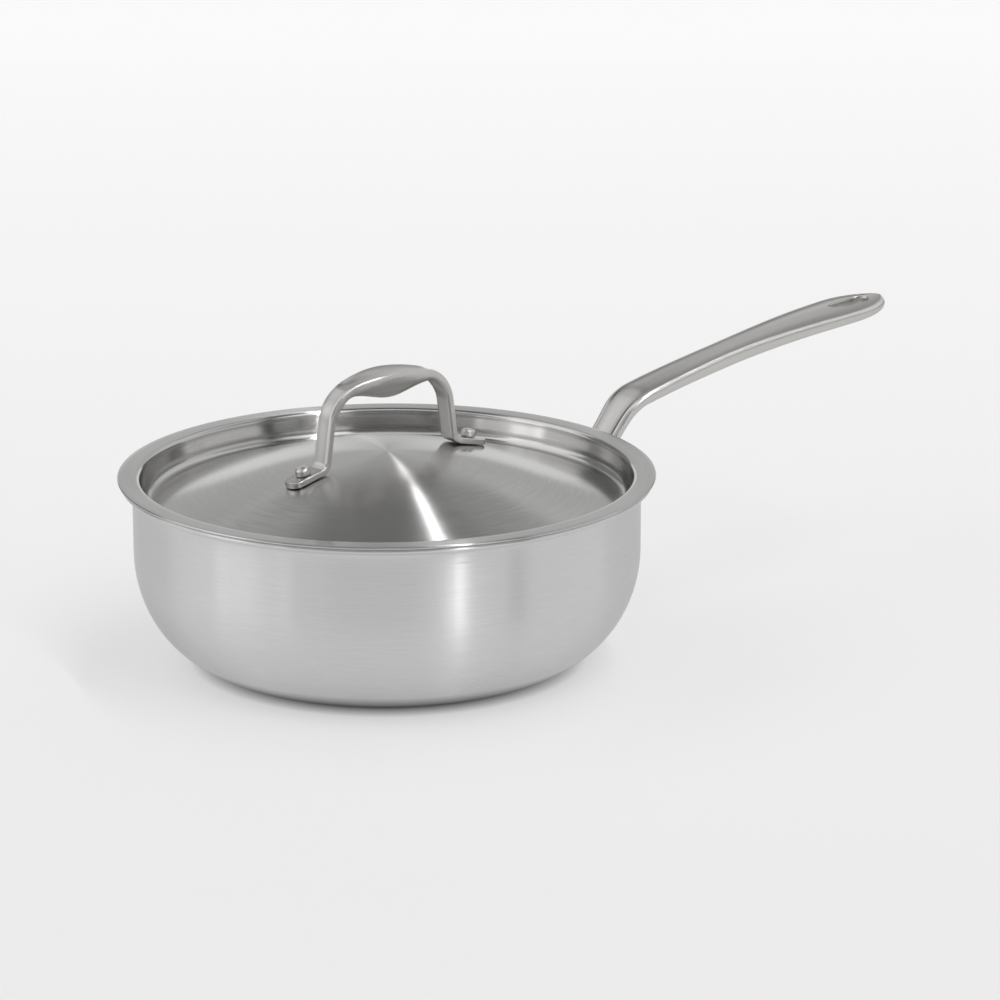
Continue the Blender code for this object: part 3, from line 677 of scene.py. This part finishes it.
def strap_sides(top_length):
    """Places along half of the strap with a given top, and where its bend, leg and ankle end."""
    places = run([(0.0, 0.0, RING_TOP + STRAP_TOP_HEIGHT, 0.0)], top_length, -STRAP_TOP_DROP)
    bend = LEG_ANGLE - STRAP_TOP_DROP
    run(places, STRAP_BEND * bend, -bend)
    bend_end = places[-1][0]
    ankle = LEG_ANGLE - FOOT_ANGLE
    trial = run([places[-1]], ANKLE_RADIUS * ankle, ankle)[-1]
    seat = dome_frame(1, FOOT_GAP + FOOT_THICKNESS)
    normal = seat.to_3x3() @ Vector((0.0, 0.0, 1.0))
    leg = Vector((math.cos(LEG_ANGLE), 0.0, -math.sin(LEG_ANGLE)))
    above = Vector((trial[1], 0.0, trial[2])) - seat.translation
    run(places, -above.dot(normal) / leg.dot(normal))
    leg_end = places[-1][0]
    run(places, ANKLE_RADIUS * ankle, ankle)
    return places, (bend_end, leg_end, places[-1][0])


def strap_top_length():
    """The length of half of the top that stands the legs at their setback from the rivets."""
    trials = (STRAP_BEND, STRAP_BEND * 1.5)
    reached = [strap_sides(length)[0][-1][1] for length in trials]
    gain = (reached[1] - reached[0]) / (trials[1] - trials[0])
    return trials[0] + (LID_RIVET_SPACING / 2 - FOOT_SETBACK - reached[0]) / gain


top_length = strap_top_length()
print("half of the strap's top in mm:", round(top_length / MM, 2))

# %% [markdown]
# The stations say how wide, deep and full the strap is along the way, and the dish fades out as
# the bend begins. The whole strap is one sweep of mirrored rings, so it has no seam in the middle.

# %% The strap, swept from foot to foot
LEG_HALF_WIDTH = 4.5 * MM
LEG_THICKNESS = 3.5 * MM
TOP_HALF_WIDTH = 8.7 * MM
BELLY_DEPTH = 12.4 * MM
TOP_DISH = 1.2 * MM
TOP_DISH_END = 27.0 * MM
TOP_DISH_EASE = 5.0 * MM
STRAP_RIM = 1.0 * MM
FOOT_RIM = 0.5 * MM
FOOT_SQUARENESS = 2.5
# How strongly the strap's creases and rims are painted with shade and highlight.
STRAP_PAINTED_LIGHT = 0.5

places, (bend_end, leg_end, ankle_end) = strap_sides(top_length)
run(places, (FOOT_SETBACK + FOOT_OVERHANG) / math.cos(FOOT_ANGLE) - FOOT_HALF_WIDTH)
foot_tip = places[-1][0]
round_off(places, FOOT_HALF_WIDTH, FOOT_SHARES)
# Each station is a distance along the line, half the width, the depth, the belly and the rim.
strap_stations = [
    (0.0, TOP_HALF_WIDTH, BELLY_DEPTH, 1.0, STRAP_RIM),
    (top_length * 1.45, LEG_HALF_WIDTH * 1.1, LEG_THICKNESS * 1.3, 0.5, STRAP_RIM),
    (bend_end, LEG_HALF_WIDTH, LEG_THICKNESS, 0.0, STRAP_RIM),
    (leg_end, LEG_HALF_WIDTH, LEG_THICKNESS, 0.0, STRAP_RIM),
    (ankle_end, FOOT_HALF_WIDTH, FOOT_THICKNESS, 0.0, FOOT_RIM),
]
dish_stations = [(TOP_DISH_END - TOP_DISH_EASE, TOP_DISH), (TOP_DISH_END, 0.0)]
strap_rings = []
for along, x, z, heading in places:
    half_width, depth, belly, rim = between(strap_stations, along)
    dish = between(dish_stations, along)[0]
    reach = max(0.0, along - foot_tip) / FOOT_HALF_WIDTH
    half_width *= (1.0 - reach**FOOT_SQUARENESS) ** (1.0 / FOOT_SQUARENESS)
    strap_rings.append(placed(casting_section(half_width, depth, dish, belly, rim), x, z, heading))
mirrored = [[(-x, y, z) for x, y, z in ring] for ring in reversed(strap_rings[1:])]
strap_painted_light = [ring_painted_light(len(strap_rings[0]), STRAP_PAINTED_LIGHT)] * (len(mirrored) + len(strap_rings))
strap_handle = swept("strap_handle", mirrored + strap_rings, strap_painted_light)
finish_piece(strap_handle, "strap_handle")
apply_modifier(strap_handle, "SUBSURF", levels=CAGE_LEVELS, render_levels=CAGE_LEVELS)
finish_piece(strap_handle, "strap_handle", CASTING_SMOOTH)

# %% [markdown]
# ## Rivets
# A rivet starts as a pin with one formed head, and its other end is set by a blow. The lid's heads
# are short drums with a rounded crown. The pan's rivets have their low heads inside, where food
# could catch, so their set ends show outside. Each is turned upright at the origin, and its mesh
# is then put in place, because a finished piece keeps its object unmoved.

# %% Turn the rivets and put them in place
RIVET_STEPS = 48
EDGE_ROUNDING = 0.15 * MM
LID_RIVET_HEAD = (3.3 * MM, 3.6 * MM, 0.58)
LID_RIVET_TAIL = (3.2 * MM, 1.1 * MM, 0.45)
LID_RIVET_SHANK = 1.6 * MM
WALL_RIVET_TAIL = (RIVET_TAIL_RADIUS, 2.2 * MM, 0.35)
WALL_RIVET_HEAD = (RIVET_HEAD_RADIUS, 1.8 * MM, 0.3)
WALL_RIVET_SHANK = 2.5 * MM


def end_outline(radius, height, side_share):
    """The side and the crown of a rivet's end, from its rim to the axis."""
    side = height * side_share
    crown = height - side
    points = [(radius - EDGE_ROUNDING, 0.0), (radius, EDGE_ROUNDING)]
    return points + arc(0.0, side, radius, crown, LEVEL, UP, 2 * FINE_STEP)


def rivet(name, place, shank, upper_end, lower_end, grip):
    """A set rivet. Each end is (radius, height, share of the height that is upright)."""
    upper = [(shank, 0.0)] + end_outline(*upper_end)
    lower = [(shank, 0.0)] + end_outline(*lower_end)
    outline = [(x, -grip - z) for x, z in reversed(lower)] + upper
    piece = turned(name, [(max(x, 0.0), z) for x, z in outline], RIVET_STEPS)
    piece.data.transform(place)
    return piece


def wall_radius(height):
    """The outer radius of the pan at a height."""
    below = max(0.0, CORNER_HEIGHT - height) / CORNER_HEIGHT
    return BASE_RADIUS + (PAN_RADIUS - BASE_RADIUS) * math.sqrt(1.0 - below**2)


def wall_frame(angle, height, outside):
    """Turns the Z axis to point out of the pan's wall, at a place and distance outside it."""
    step = 0.1 * MM
    tilt = math.atan((wall_radius(height + step) - wall_radius(height - step)) / (2 * step))
    turn = Matrix.Rotation(angle, 4, "Z") @ Matrix.Rotation(UP + tilt, 4, "Y")
    normal = turn @ Vector((0.0, 0.0, 1.0))
    radius = wall_radius(height)
    place = Vector((radius * math.cos(angle), radius * math.sin(angle), height))
    return Matrix.Translation(place + normal * outside) @ turn


RIVET_SEAT_GAP = 0.3 * MM
WALL_SEAT_GAP = 0.5 * MM
lid_grip = LID_SHEET + FOOT_GAP + FOOT_THICKNESS + 2 * RIVET_SEAT_GAP
lid_head_base = FOOT_GAP + FOOT_THICKNESS + RIVET_SEAT_GAP
lid_rivets = []
for number, side in enumerate((1, -1), start=1):
    place = dome_frame(side, lid_head_base)
    name = f"lid_rivet_head_{number}"
    lid_rivets.append(rivet(name, place, LID_RIVET_SHANK, LID_RIVET_HEAD, LID_RIVET_TAIL, lid_grip))

wall_grip = PAN_WALL + PAD_REACH + 2 * WALL_SEAT_GAP
side_angle = math.asin(UPPER_RIVET_OFFSET / PAN_RADIUS)
wall_places = [
    (side_angle, UPPER_RIVET_HEIGHT),
    (-side_angle, UPPER_RIVET_HEIGHT),
    (0.0, LOWER_RIVET_HEIGHT),
]
wall_rivets = []
for number, (angle, height) in enumerate(wall_places, start=1):
    place = wall_frame(angle, height, PAD_REACH + WALL_SEAT_GAP)
    name = f"wall_rivet_{number}"
    wall_rivets.append(rivet(name, place, WALL_RIVET_SHANK, WALL_RIVET_TAIL, WALL_RIVET_HEAD, wall_grip))

# %% [markdown]
# ## Ride on the frame
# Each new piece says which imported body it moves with, which node it stands for, and which of the
# record's finishes it takes.

# %% Bodies, nodes and slots
PIECES = [
    (pan_shell, "pan", "pan_body", "brushed_steel"),
    (long_handle, "pan", "pan_handle", "cast_steel"),
    (wall_rivets[0], "pan", "handle_rivet_1", "rivet_steel"),
    (wall_rivets[1], "pan", "handle_rivet_2", "rivet_steel"),
    (wall_rivets[2], "pan", "handle_rivet_3", "rivet_steel"),
    (lid_sheet, "lid", "lid_shell", "lid_steel"),
    (strap_handle, "lid", "lid_handle", "cast_steel"),
    (lid_rivets[0], "lid", "lid_rivet_1", "rivet_steel"),
    (lid_rivets[1], "lid", "lid_rivet_2", "rivet_steel"),
]
for piece, body, node, slot_name in PIECES:
    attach(piece, body)
    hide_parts(node)
print("pieces:", len(PIECES))

# %% [markdown]
# ## Steel that remembers how it was finished
# All the pieces are the same stainless steel. What tells them apart is the last tool: a belt that
# went round the pan, pads that turned on the lid, a softer wheel on the castings, and the press on
# the rivets. So all materials share one builder: a metal whose tint, roughness and normal change
# a little along noise that is drawn out into lines.

# %% Node helpers
NOISE_LOW, NOISE_HIGH = 0.3, 0.7
NOISE_DETAIL = 3.0


def set_inputs(tree, node, inputs):
    """Sets inputs of a node to values, or links them to the output sockets of other nodes."""
    for key, value in inputs.items():
        if isinstance(value, bpy.types.NodeSocket):
            tree.links.new(value, node.inputs[key])
        else:
            node.inputs[key].default_value = value


def add_node(tree, kind, inputs=None, **settings):
    made = tree.nodes.new(kind)
    for key, value in settings.items():
        setattr(made, key, value)
    set_inputs(tree, made, inputs or {})
    return made


def math_node(tree, operation, first, second=0.0, third=0.0):
    return add_node(tree, "ShaderNodeMath", {0: first, 1: second, 2: third}, operation=operation).outputs[0]


def noise(tree, vector, scale, roughness):
    settings = {"Vector": vector, "Scale": scale, "Detail": NOISE_DETAIL, "Roughness": roughness}
    return add_node(tree, "ShaderNodeTexNoise", settings).outputs["Fac"]


def remap(tree, value, low, high, from_low=NOISE_LOW, from_high=NOISE_HIGH):
    """Spreads a value over a range. A noise value stays near its middle, so that is the default."""
    inputs = {"Value": value, "From Min": from_low, "From Max": from_high, "To Min": low, "To Max": high}
    return add_node(tree, "ShaderNodeMapRange", inputs).outputs["Result"]


print("noise is read from", NOISE_LOW, "to", NOISE_HIGH)

# %% [markdown]
# Lines that run round an axis need coordinates that do too. An angle would jump where it closes, so
# the direction from the axis, as a unit vector, takes its place. The third coordinate counts across
# the lines: radius and height added, which grows along the dome, the wall and the foot alike.

# %% Coordinates for lines round the axis
def round_axis(tree):
    """The direction from the axis, the distance from it and the height of a point of a piece."""
    position = add_node(tree, "ShaderNodeTexCoord").outputs["Object"]
    parts = add_node(tree, "ShaderNodeSeparateXYZ", {0: position})
    flat = add_node(tree, "ShaderNodeCombineXYZ", {0: parts.outputs[0], 1: parts.outputs[1]}).outputs[0]
    radius = add_node(tree, "ShaderNodeVectorMath", {0: flat}, operation="LENGTH").outputs["Value"]
    unit = add_node(tree, "ShaderNodeVectorMath", {0: flat}, operation="NORMALIZE").outputs[0]
    return unit, radius, parts.outputs[2]


def lines_round_axis(tree, line_length, line_width, middle_radius):
    """Noise coordinates for lines of about this length and width at this radius."""
    unit, radius, height = round_axis(tree)
    around = add_node(tree, "ShaderNodeSeparateXYZ", {0: unit})
    turns = middle_radius / line_length
    across = math_node(tree, "ADD", radius, height)
    inputs = {
        0: math_node(tree, "MULTIPLY", around.outputs[0], turns),
        1: math_node(tree, "MULTIPLY", around.outputs[1], turns),
        2: math_node(tree, "MULTIPLY", across, 1.0 / line_width),
    }
    return add_node(tree, "ShaderNodeCombineXYZ", inputs).outputs[0]


def lines_along_x(tree, line_length, line_width):
    """Noise coordinates for lines that run along the X axis."""
    position = add_node(tree, "ShaderNodeTexCoord").outputs["Object"]
    scale = (1.0 / line_length, 1.0 / line_width, 1.0 / line_width)
    return add_node(tree, "ShaderNodeMapping", {"Vector": position, "Scale": scale}).outputs[0]


print("lines run round the axis or along X")

# %% [markdown]
# The builder takes the tint, the roughness and how far both change along the lines. Steel that was
# brushed round also gets a grain: it reflects a lamp as a streak across its brush lines, which the
# tangent round the axis and a quarter turn set up. A broad, faint noise adds the unevenness of
# handling. On the castings a number on each vertex scales the colour: it paints shade into the
# creases and a highlight onto the rims. At grazing angles a metal turns white, so the edge tint
# holds it a little lower.

# %% The shared builder
BRUSH_TURN = 0.25
EDGE_TINT = (0.8, 0.8, 0.8, 1.0)
LINE_NOISE = (1.0, 0.6)
BROAD_NOISE = (22.0, 0.55)
BROAD_SHADE_SHARE = 0.5
BROAD_ROUGHNESS_SHARE = 0.6


def steel(
    name, tint, roughness, roughness_spread, shade_spread, bump_height, line_vector,
    brush_spread=None, with_painted_light=False, shade_of=None,
):
    """Steel with lines. A brush spread, the wander of the brush lines, makes it brushed round."""
    material = bpy.data.materials.new(name)
    material.use_nodes = True
    tree = material.node_tree
    lines = noise(tree, line_vector(tree), *LINE_NOISE)
    position = add_node(tree, "ShaderNodeTexCoord").outputs["Object"]
    broad = noise(tree, position, *BROAD_NOISE)

    broad_spread = shade_spread * BROAD_SHADE_SHARE
    line_shade = remap(tree, lines, 1.0 - shade_spread, 1.0 + shade_spread)
    broad_shade = remap(tree, broad, 1.0 - broad_spread, 1.0 + broad_spread)
    shade = math_node(tree, "MULTIPLY", line_shade, broad_shade)
    # The castings' colour is scaled by painted shade in the creases and a painted highlight on the rims.
    if with_painted_light:
        painted_light = add_node(tree, "ShaderNodeAttribute", attribute_name="painted_light").outputs["Fac"]
        shade = math_node(tree, "MULTIPLY", shade, math_node(tree, "ADD", painted_light, 1.0))
    if shade_of:
        shade = math_node(tree, "MULTIPLY", shade, shade_of(tree))
    tinted = add_node(tree, "ShaderNodeVectorMath", {0: tint, "Scale": shade}, operation="SCALE").outputs[0]

    broad_spread = roughness_spread * BROAD_ROUGHNESS_SHARE
    line_rough = remap(tree, lines, roughness - roughness_spread, roughness + roughness_spread)
    rough = math_node(tree, "ADD", line_rough, remap(tree, broad, -broad_spread, broad_spread))

    bump_inputs = {"Strength": 1.0, "Distance": bump_height, "Height": lines}
    bump = add_node(tree, "ShaderNodeBump", bump_inputs).outputs[0]
    inputs = {
        "Metallic": 1.0,
        "Specular Tint": EDGE_TINT,
        "Base Color": tinted,
        "Roughness": rough,
        "Normal": bump,
    }
    if brush_spread is not None:
        tangent = add_node(tree, "ShaderNodeTangent", direction_type="RADIAL", axis="Z").outputs[0]
        turn = remap(tree, lines, BRUSH_TURN - brush_spread, BRUSH_TURN + brush_spread)
        inputs.update({"Anisotropic": 1.0, "Tangent": tangent, "Anisotropic Rotation": turn})
    set_inputs(tree, tree.nodes["Principled BSDF"], inputs)
    return material


def dress(piece, material):
    piece.data.materials.clear()
    piece.data.materials.append(material)


print("finishes share one builder")

# %% [markdown]
# In the photo the first rise of the foot is dark, because it reflects its own shadow there. This
# studio is too soft to give the whole of that line, so a ramp over the height paints the rest of
# it. The flat base keeps its full shade.

# %% The shade of the foot
FOOT_SHADE = 0.2
FOOT_SHADE_LOW, FOOT_SHADE_HIGH = 3.0 * MM, 11.0 * MM
FOOT_SHADE_EDGE = 1.0 * MM


def foot_shade(tree):
    """A factor for the shade: low on the first rise of the foot and 1 elsewhere."""
    _, radius, height = round_axis(tree)
    rise = remap(tree, height, FOOT_SHADE, 1.0, FOOT_SHADE_LOW, FOOT_SHADE_HIGH)
    base = remap(tree, radius, 1.0, 0.0, BASE_RADIUS, BASE_RADIUS + FOOT_SHADE_EDGE)
    return math_node(tree, "MAXIMUM", rise, base)


print("foot shaded up to", FOOT_SHADE_HIGH / MM, "mm")

# %% [markdown]
# The pan's wall is satin with fine brush lines round it. The lid is smoother, so it mirrors the
# studio more sharply. The castings are warmer, with faint polishing lines along the handles, and
# the rivets have only the small marks of the press. The roughness was set by how wide the bright
# streaks spread in the photo, and the tint by how bright the steel is between them.

# %% The four finishes
BRUSH_LINE = {"line_length": 14.0 * MM, "line_width": 0.45 * MM}


def pan_lines(tree):
    return lines_round_axis(tree, middle_radius=PAN_RADIUS, **BRUSH_LINE)


def lid_lines(tree):
    return lines_round_axis(tree, middle_radius=PAN_RADIUS * 0.6, **BRUSH_LINE)


def wheel_lines(tree):
    return lines_along_x(tree, line_length=25.0 * MM, line_width=0.8 * MM)


def press_marks(tree):
    return lines_along_x(tree, line_length=1.0 * MM, line_width=0.5 * MM)


FINISHES = {
    "brushed_steel": steel(
        "brushed_steel", tint=(0.70, 0.70, 0.705), roughness=0.30, roughness_spread=0.025,
        shade_spread=0.045, bump_height=0.0005 * MM, line_vector=pan_lines, brush_spread=0.003,
        shade_of=foot_shade,
    ),
    "lid_steel": steel(
        "lid_steel", tint=(0.57, 0.565, 0.558), roughness=0.175, roughness_spread=0.012,
        shade_spread=0.05, bump_height=0.00007 * MM, line_vector=lid_lines, brush_spread=0.001,
    ),
    "cast_steel": steel(
        "cast_steel", tint=(0.59, 0.58, 0.565), roughness=0.32, roughness_spread=0.015,
        shade_spread=0.03, bump_height=0.0003 * MM, line_vector=wheel_lines, with_painted_light=True,
    ),
    "rivet_steel": steel(
        "rivet_steel", tint=(0.62, 0.61, 0.60), roughness=0.34, roughness_spread=0.02,
        shade_spread=0.03, bump_height=0.0002 * MM, line_vector=press_marks,
    ),
}
for piece, _, _, slot_name in PIECES:
    dress(piece, FINISHES[slot_name])
print("finishes:", ", ".join(FINISHES))

# %% [markdown]
# ## The floor
# The photo was taken on a pale sweep: paper that runs from under the pan far back and up. A large
# plane does the same here. Its paint gets paler with distance, which is painted light: paper looks
# so where more light falls on it, and the backdrop brightens towards the top of the picture. In
# this soft light even white paint would look greyer than the photo's paper, and more light would
# spoil the steel. So the camera and the steel's reflections see the floor lifted by a glow of its
# own, over a grey paint that keeps the pan's soft shadow. The glow stops short of the foot, where
# the pan would keep the light out, and that paints the dark shadow line on which the pan stands.

# %% Lay the floor
FLOOR_SIZE = 14.0
# The paint's paler far side is painted light, as on paper where more light falls.
FLOOR_NEAR, FLOOR_FAR = 0.37, 0.51
PAINT_START, PAINT_END = -0.3, 1.6
FLOOR_LIFT = 0.52
# Inside these radii the glow is off and fades in outward: a painted contact shadow round the foot.
CONTACT_START = BASE_RADIUS + 5.0 * MM
CONTACT_END = BASE_RADIUS + 20.0 * MM
CAMERA_AZIMUTH = math.radians(-130.5)

bpy.ops.mesh.primitive_plane_add(size=FLOOR_SIZE)
floor = bpy.context.active_object
floor.name = "floor"
floor_paint = bpy.data.materials.new("floor_paint")
floor_paint.use_nodes = True
floor_tree = floor_paint.node_tree
floor_place = add_node(floor_tree, "ShaderNodeTexCoord").outputs["Object"]
away = (-math.cos(CAMERA_AZIMUTH), -math.sin(CAMERA_AZIMUTH), 0.0)
distance = add_node(floor_tree, "ShaderNodeVectorMath", {0: floor_place, 1: away}, operation="DOT_PRODUCT")
paint = remap(floor_tree, distance.outputs["Value"], FLOOR_NEAR, FLOOR_FAR, PAINT_START, PAINT_END)
floor_rays = add_node(floor_tree, "ShaderNodeLightPath")
by_camera, by_steel = floor_rays.outputs["Is Camera Ray"], floor_rays.outputs["Is Glossy Ray"]
floor_seen = math_node(floor_tree, "MAXIMUM", by_camera, by_steel)
from_axis = add_node(floor_tree, "ShaderNodeVectorMath", {0: floor_place}, operation="LENGTH")
clear_of_pan = remap(floor_tree, from_axis.outputs["Value"], 0.0, FLOOR_LIFT, CONTACT_START, CONTACT_END)
floor_lift = math_node(floor_tree, "MULTIPLY", floor_seen, clear_of_pan)
floor_inputs = {
    "Base Color": paint,
    "Roughness": 0.9,
    "Specular IOR Level": 0.0,
    "Emission Color": (1.0, 1.0, 1.0, 1.0),
    "Emission Strength": floor_lift,
}
set_inputs(floor_tree, floor_tree.nodes["Principled BSDF"], floor_inputs)
dress(floor, floor_paint)
print("floor:", FLOOR_SIZE, "m wide")

# %% [markdown]
# ## The light
# Brushed steel shows its studio more than its own colour, so the studio is what has to be right.
# Low cards stand round the pan and light its wall, soft boxes hang above and behind them, and one
# narrow strip arches from the front right up over the pan. The strip draws the bright line on the
# dome, on the lid's inner wall and on the body, where the brush lines spread its image into a
# line. Between the boxes the room is dim, which gives the dome its dark wedges. All lights are
# painted on the world as windows in azimuth and elevation, in degrees, so they light a floor of
# any size evenly. Azimuth counts from the camera's side, positive to its right.

# %% Angles of a direction, and windows in them
def degrees_of(tree, operation, first, second=0.0):
    return math_node(tree, "DEGREES", math_node(tree, operation, first, second))


def window(tree, angle, low, high, soft):
    """Is 1 between two angles and falls to 0 over a soft edge outside them."""
    rise = {"Value": angle, "From Min": low - soft, "From Max": low}
    fall = {"Value": angle, "From Min": high, "From Max": high + soft, "To Min": 1.0, "To Max": 0.0}
    edges = [
        add_node(tree, "ShaderNodeMapRange", inputs, interpolation_type="SMOOTHSTEP").outputs["Result"]
        for inputs in (rise, fall)
    ]
    return math_node(tree, "MULTIPLY", *edges)


def turned_by(tree, direction, azimuth):
    """The parts of a direction along, to the right of and above a heading at an azimuth."""
    turn = CAMERA_AZIMUTH + azimuth
    along = (math.cos(turn), math.sin(turn), 0.0)
    right = (-math.sin(turn), math.cos(turn), 0.0)
    parts = []
    for axis in (along, right, (0.0, 0.0, 1.0)):
        made = add_node(tree, "ShaderNodeVectorMath", {0: direction, 1: axis}, operation="DOT_PRODUCT")
        parts.append(made.outputs["Value"])
    return parts


print("camera's azimuth in degrees:", round(math.degrees(CAMERA_AZIMUTH), 1))

# %% [markdown]
# Each box has its middle azimuth, half its width, its lower and upper elevation, and its strength.
# A strip lies in an upright plane: its angle rises from the floor in front of the pan, over the
# top at 90 degrees, and down behind. The strengths were fitted to how bright the photo's pan, lid
# and handles are, and then set one by one. The weak boxes called front room only keep the dome from
# going black when it is seen from behind. The camera sees a plain pale backdrop in place of all
# these, so that no light shows past the edge of the floor.

# %% Hang the soft boxes
BOX_SOFT = 5.0
SOFT_BOXES = [
    ("front card", -9.0, 35.0, (-8.0, 10.0), 0.75),
    ("front room", 0.0, 62.0, (15.0, 32.0), 0.1),
    ("front room, high", -10.0, 52.0, (38.0, 58.0), 0.2),
    ("front left card", -62.0, 16.0, (-8.0, 14.0), 1.05),
    ("front left box", -50.0, 20.0, (15.0, 58.0), 0.25),
    ("front right card", 40.0, 13.0, (-8.0, 10.0), 0.9),
    ("front right box", 42.0, 18.0, (38.0, 58.0), 1.5),
    ("right wall", 88.0, 22.0, (-8.0, 32.0), 0.70),
    ("right wall, high", 88.0, 22.0, (38.0, 58.0), 0.37),
    ("left card", -94.0, 16.0, (-8.0, 10.0), 0.6),
    ("left box", -88.0, 22.0, (15.0, 58.0), 1.2),
    ("back left box", -135.0, 20.0, (38.0, 58.0), 1.0),
    ("back left, low", -135.0, 20.0, (-8.0, 32.0), 0.25),
    ("back right box", 135.0, 20.0, (15.0, 58.0), 0.8),
    ("back right, low", 135.0, 20.0, (-8.0, 10.0), 0.12),
    ("sweep, low", 180.0, 20.0, (-8.0, 10.0), 1.1),
    ("sweep", 180.0, 20.0, (15.0, 32.0), 0.64),
    ("sweep, high", 180.0, 20.0, (38.0, 58.0), 0.27),
    ("top", 0.0, 90.0, (64.0, 90.0), 1.0),
]
STRIP_PLANE = math.radians(16.0)
STRIP_SIDES = (15.2, 15.7)
STRIP_SOFT = (0.5, 4.0)
STRIPS = [
    ("low strip", (-5.0, 18.0), 8.0),
    ("front strip", (24.0, 56.0), 28.0),
    ("arching strip", (62.0, 108.0), 40.0),
    ("far strip", (112.0, 148.0), 3.0),
]
BACKDROP = 0.90

world = bpy.data.worlds.new("studio")
bpy.context.scene.world = world
world.use_nodes = True
sky = world.node_tree
direction = add_node(sky, "ShaderNodeTexCoord").outputs["Generated"]
elevation = degrees_of(sky, "ARCSINE", turned_by(sky, direction, 0.0)[2])
level = 0.0
for _, centre, half_width, elevations, strength in SOFT_BOXES:
    along, right, _ = turned_by(sky, direction, math.radians(centre))
    side = degrees_of(sky, "ARCTAN2", right, along)
    across = window(sky, side, -half_width, half_width, BOX_SOFT)
    face = math_node(sky, "MULTIPLY", across, window(sky, elevation, *elevations, BOX_SOFT))
    level = math_node(sky, "MULTIPLY_ADD", face, strength, level)

along, right, above = turned_by(sky, direction, STRIP_PLANE)
strip_side = degrees_of(sky, "ARCSINE", right)
strip_rise = degrees_of(sky, "ARCTAN2", above, along)
for _, rises, strength in STRIPS:
    across = window(sky, strip_side, *STRIP_SIDES, STRIP_SOFT[0])
    face = math_node(sky, "MULTIPLY", across, window(sky, strip_rise, *rises, STRIP_SOFT[1]))
    level = math_node(sky, "MULTIPLY_ADD", face, strength, level)
seen = add_node(sky, "ShaderNodeLightPath").outputs["Is Camera Ray"]
lit = math_node(sky, "MULTIPLY", level, math_node(sky, "SUBTRACT", 1.0, seen))
lit = math_node(sky, "MULTIPLY_ADD", seen, BACKDROP, lit)
set_inputs(sky, sky.nodes["Background"], {"Color": (1.0, 1.0, 1.0, 1.0), "Strength": lit})
print("soft boxes and strips:", len(SOFT_BOXES) + len(STRIPS))

# %% [markdown]
# ## The camera
# A long lens from far away, pitched 16 degrees down, as in the photo. Its place comes from the
# ellipse of the lid's ring and the outline of the pan there.

# %% Set the camera
camera_data = bpy.data.cameras.new("camera")
camera = bpy.data.objects.new("camera", camera_data)
bpy.context.scene.collection.objects.link(camera)
camera_data.sensor_width = 36.0
camera_data.lens = 158.4
camera.location = (-1.2272, -1.4383, 0.6123)
camera.rotation_euler = (math.radians(74.049), 0.0, math.radians(-42.0))
bpy.context.scene.camera = camera
bpy.context.scene.view_settings.view_transform = "Standard"
print("camera's distance in m:", round(camera.location.length, 2))
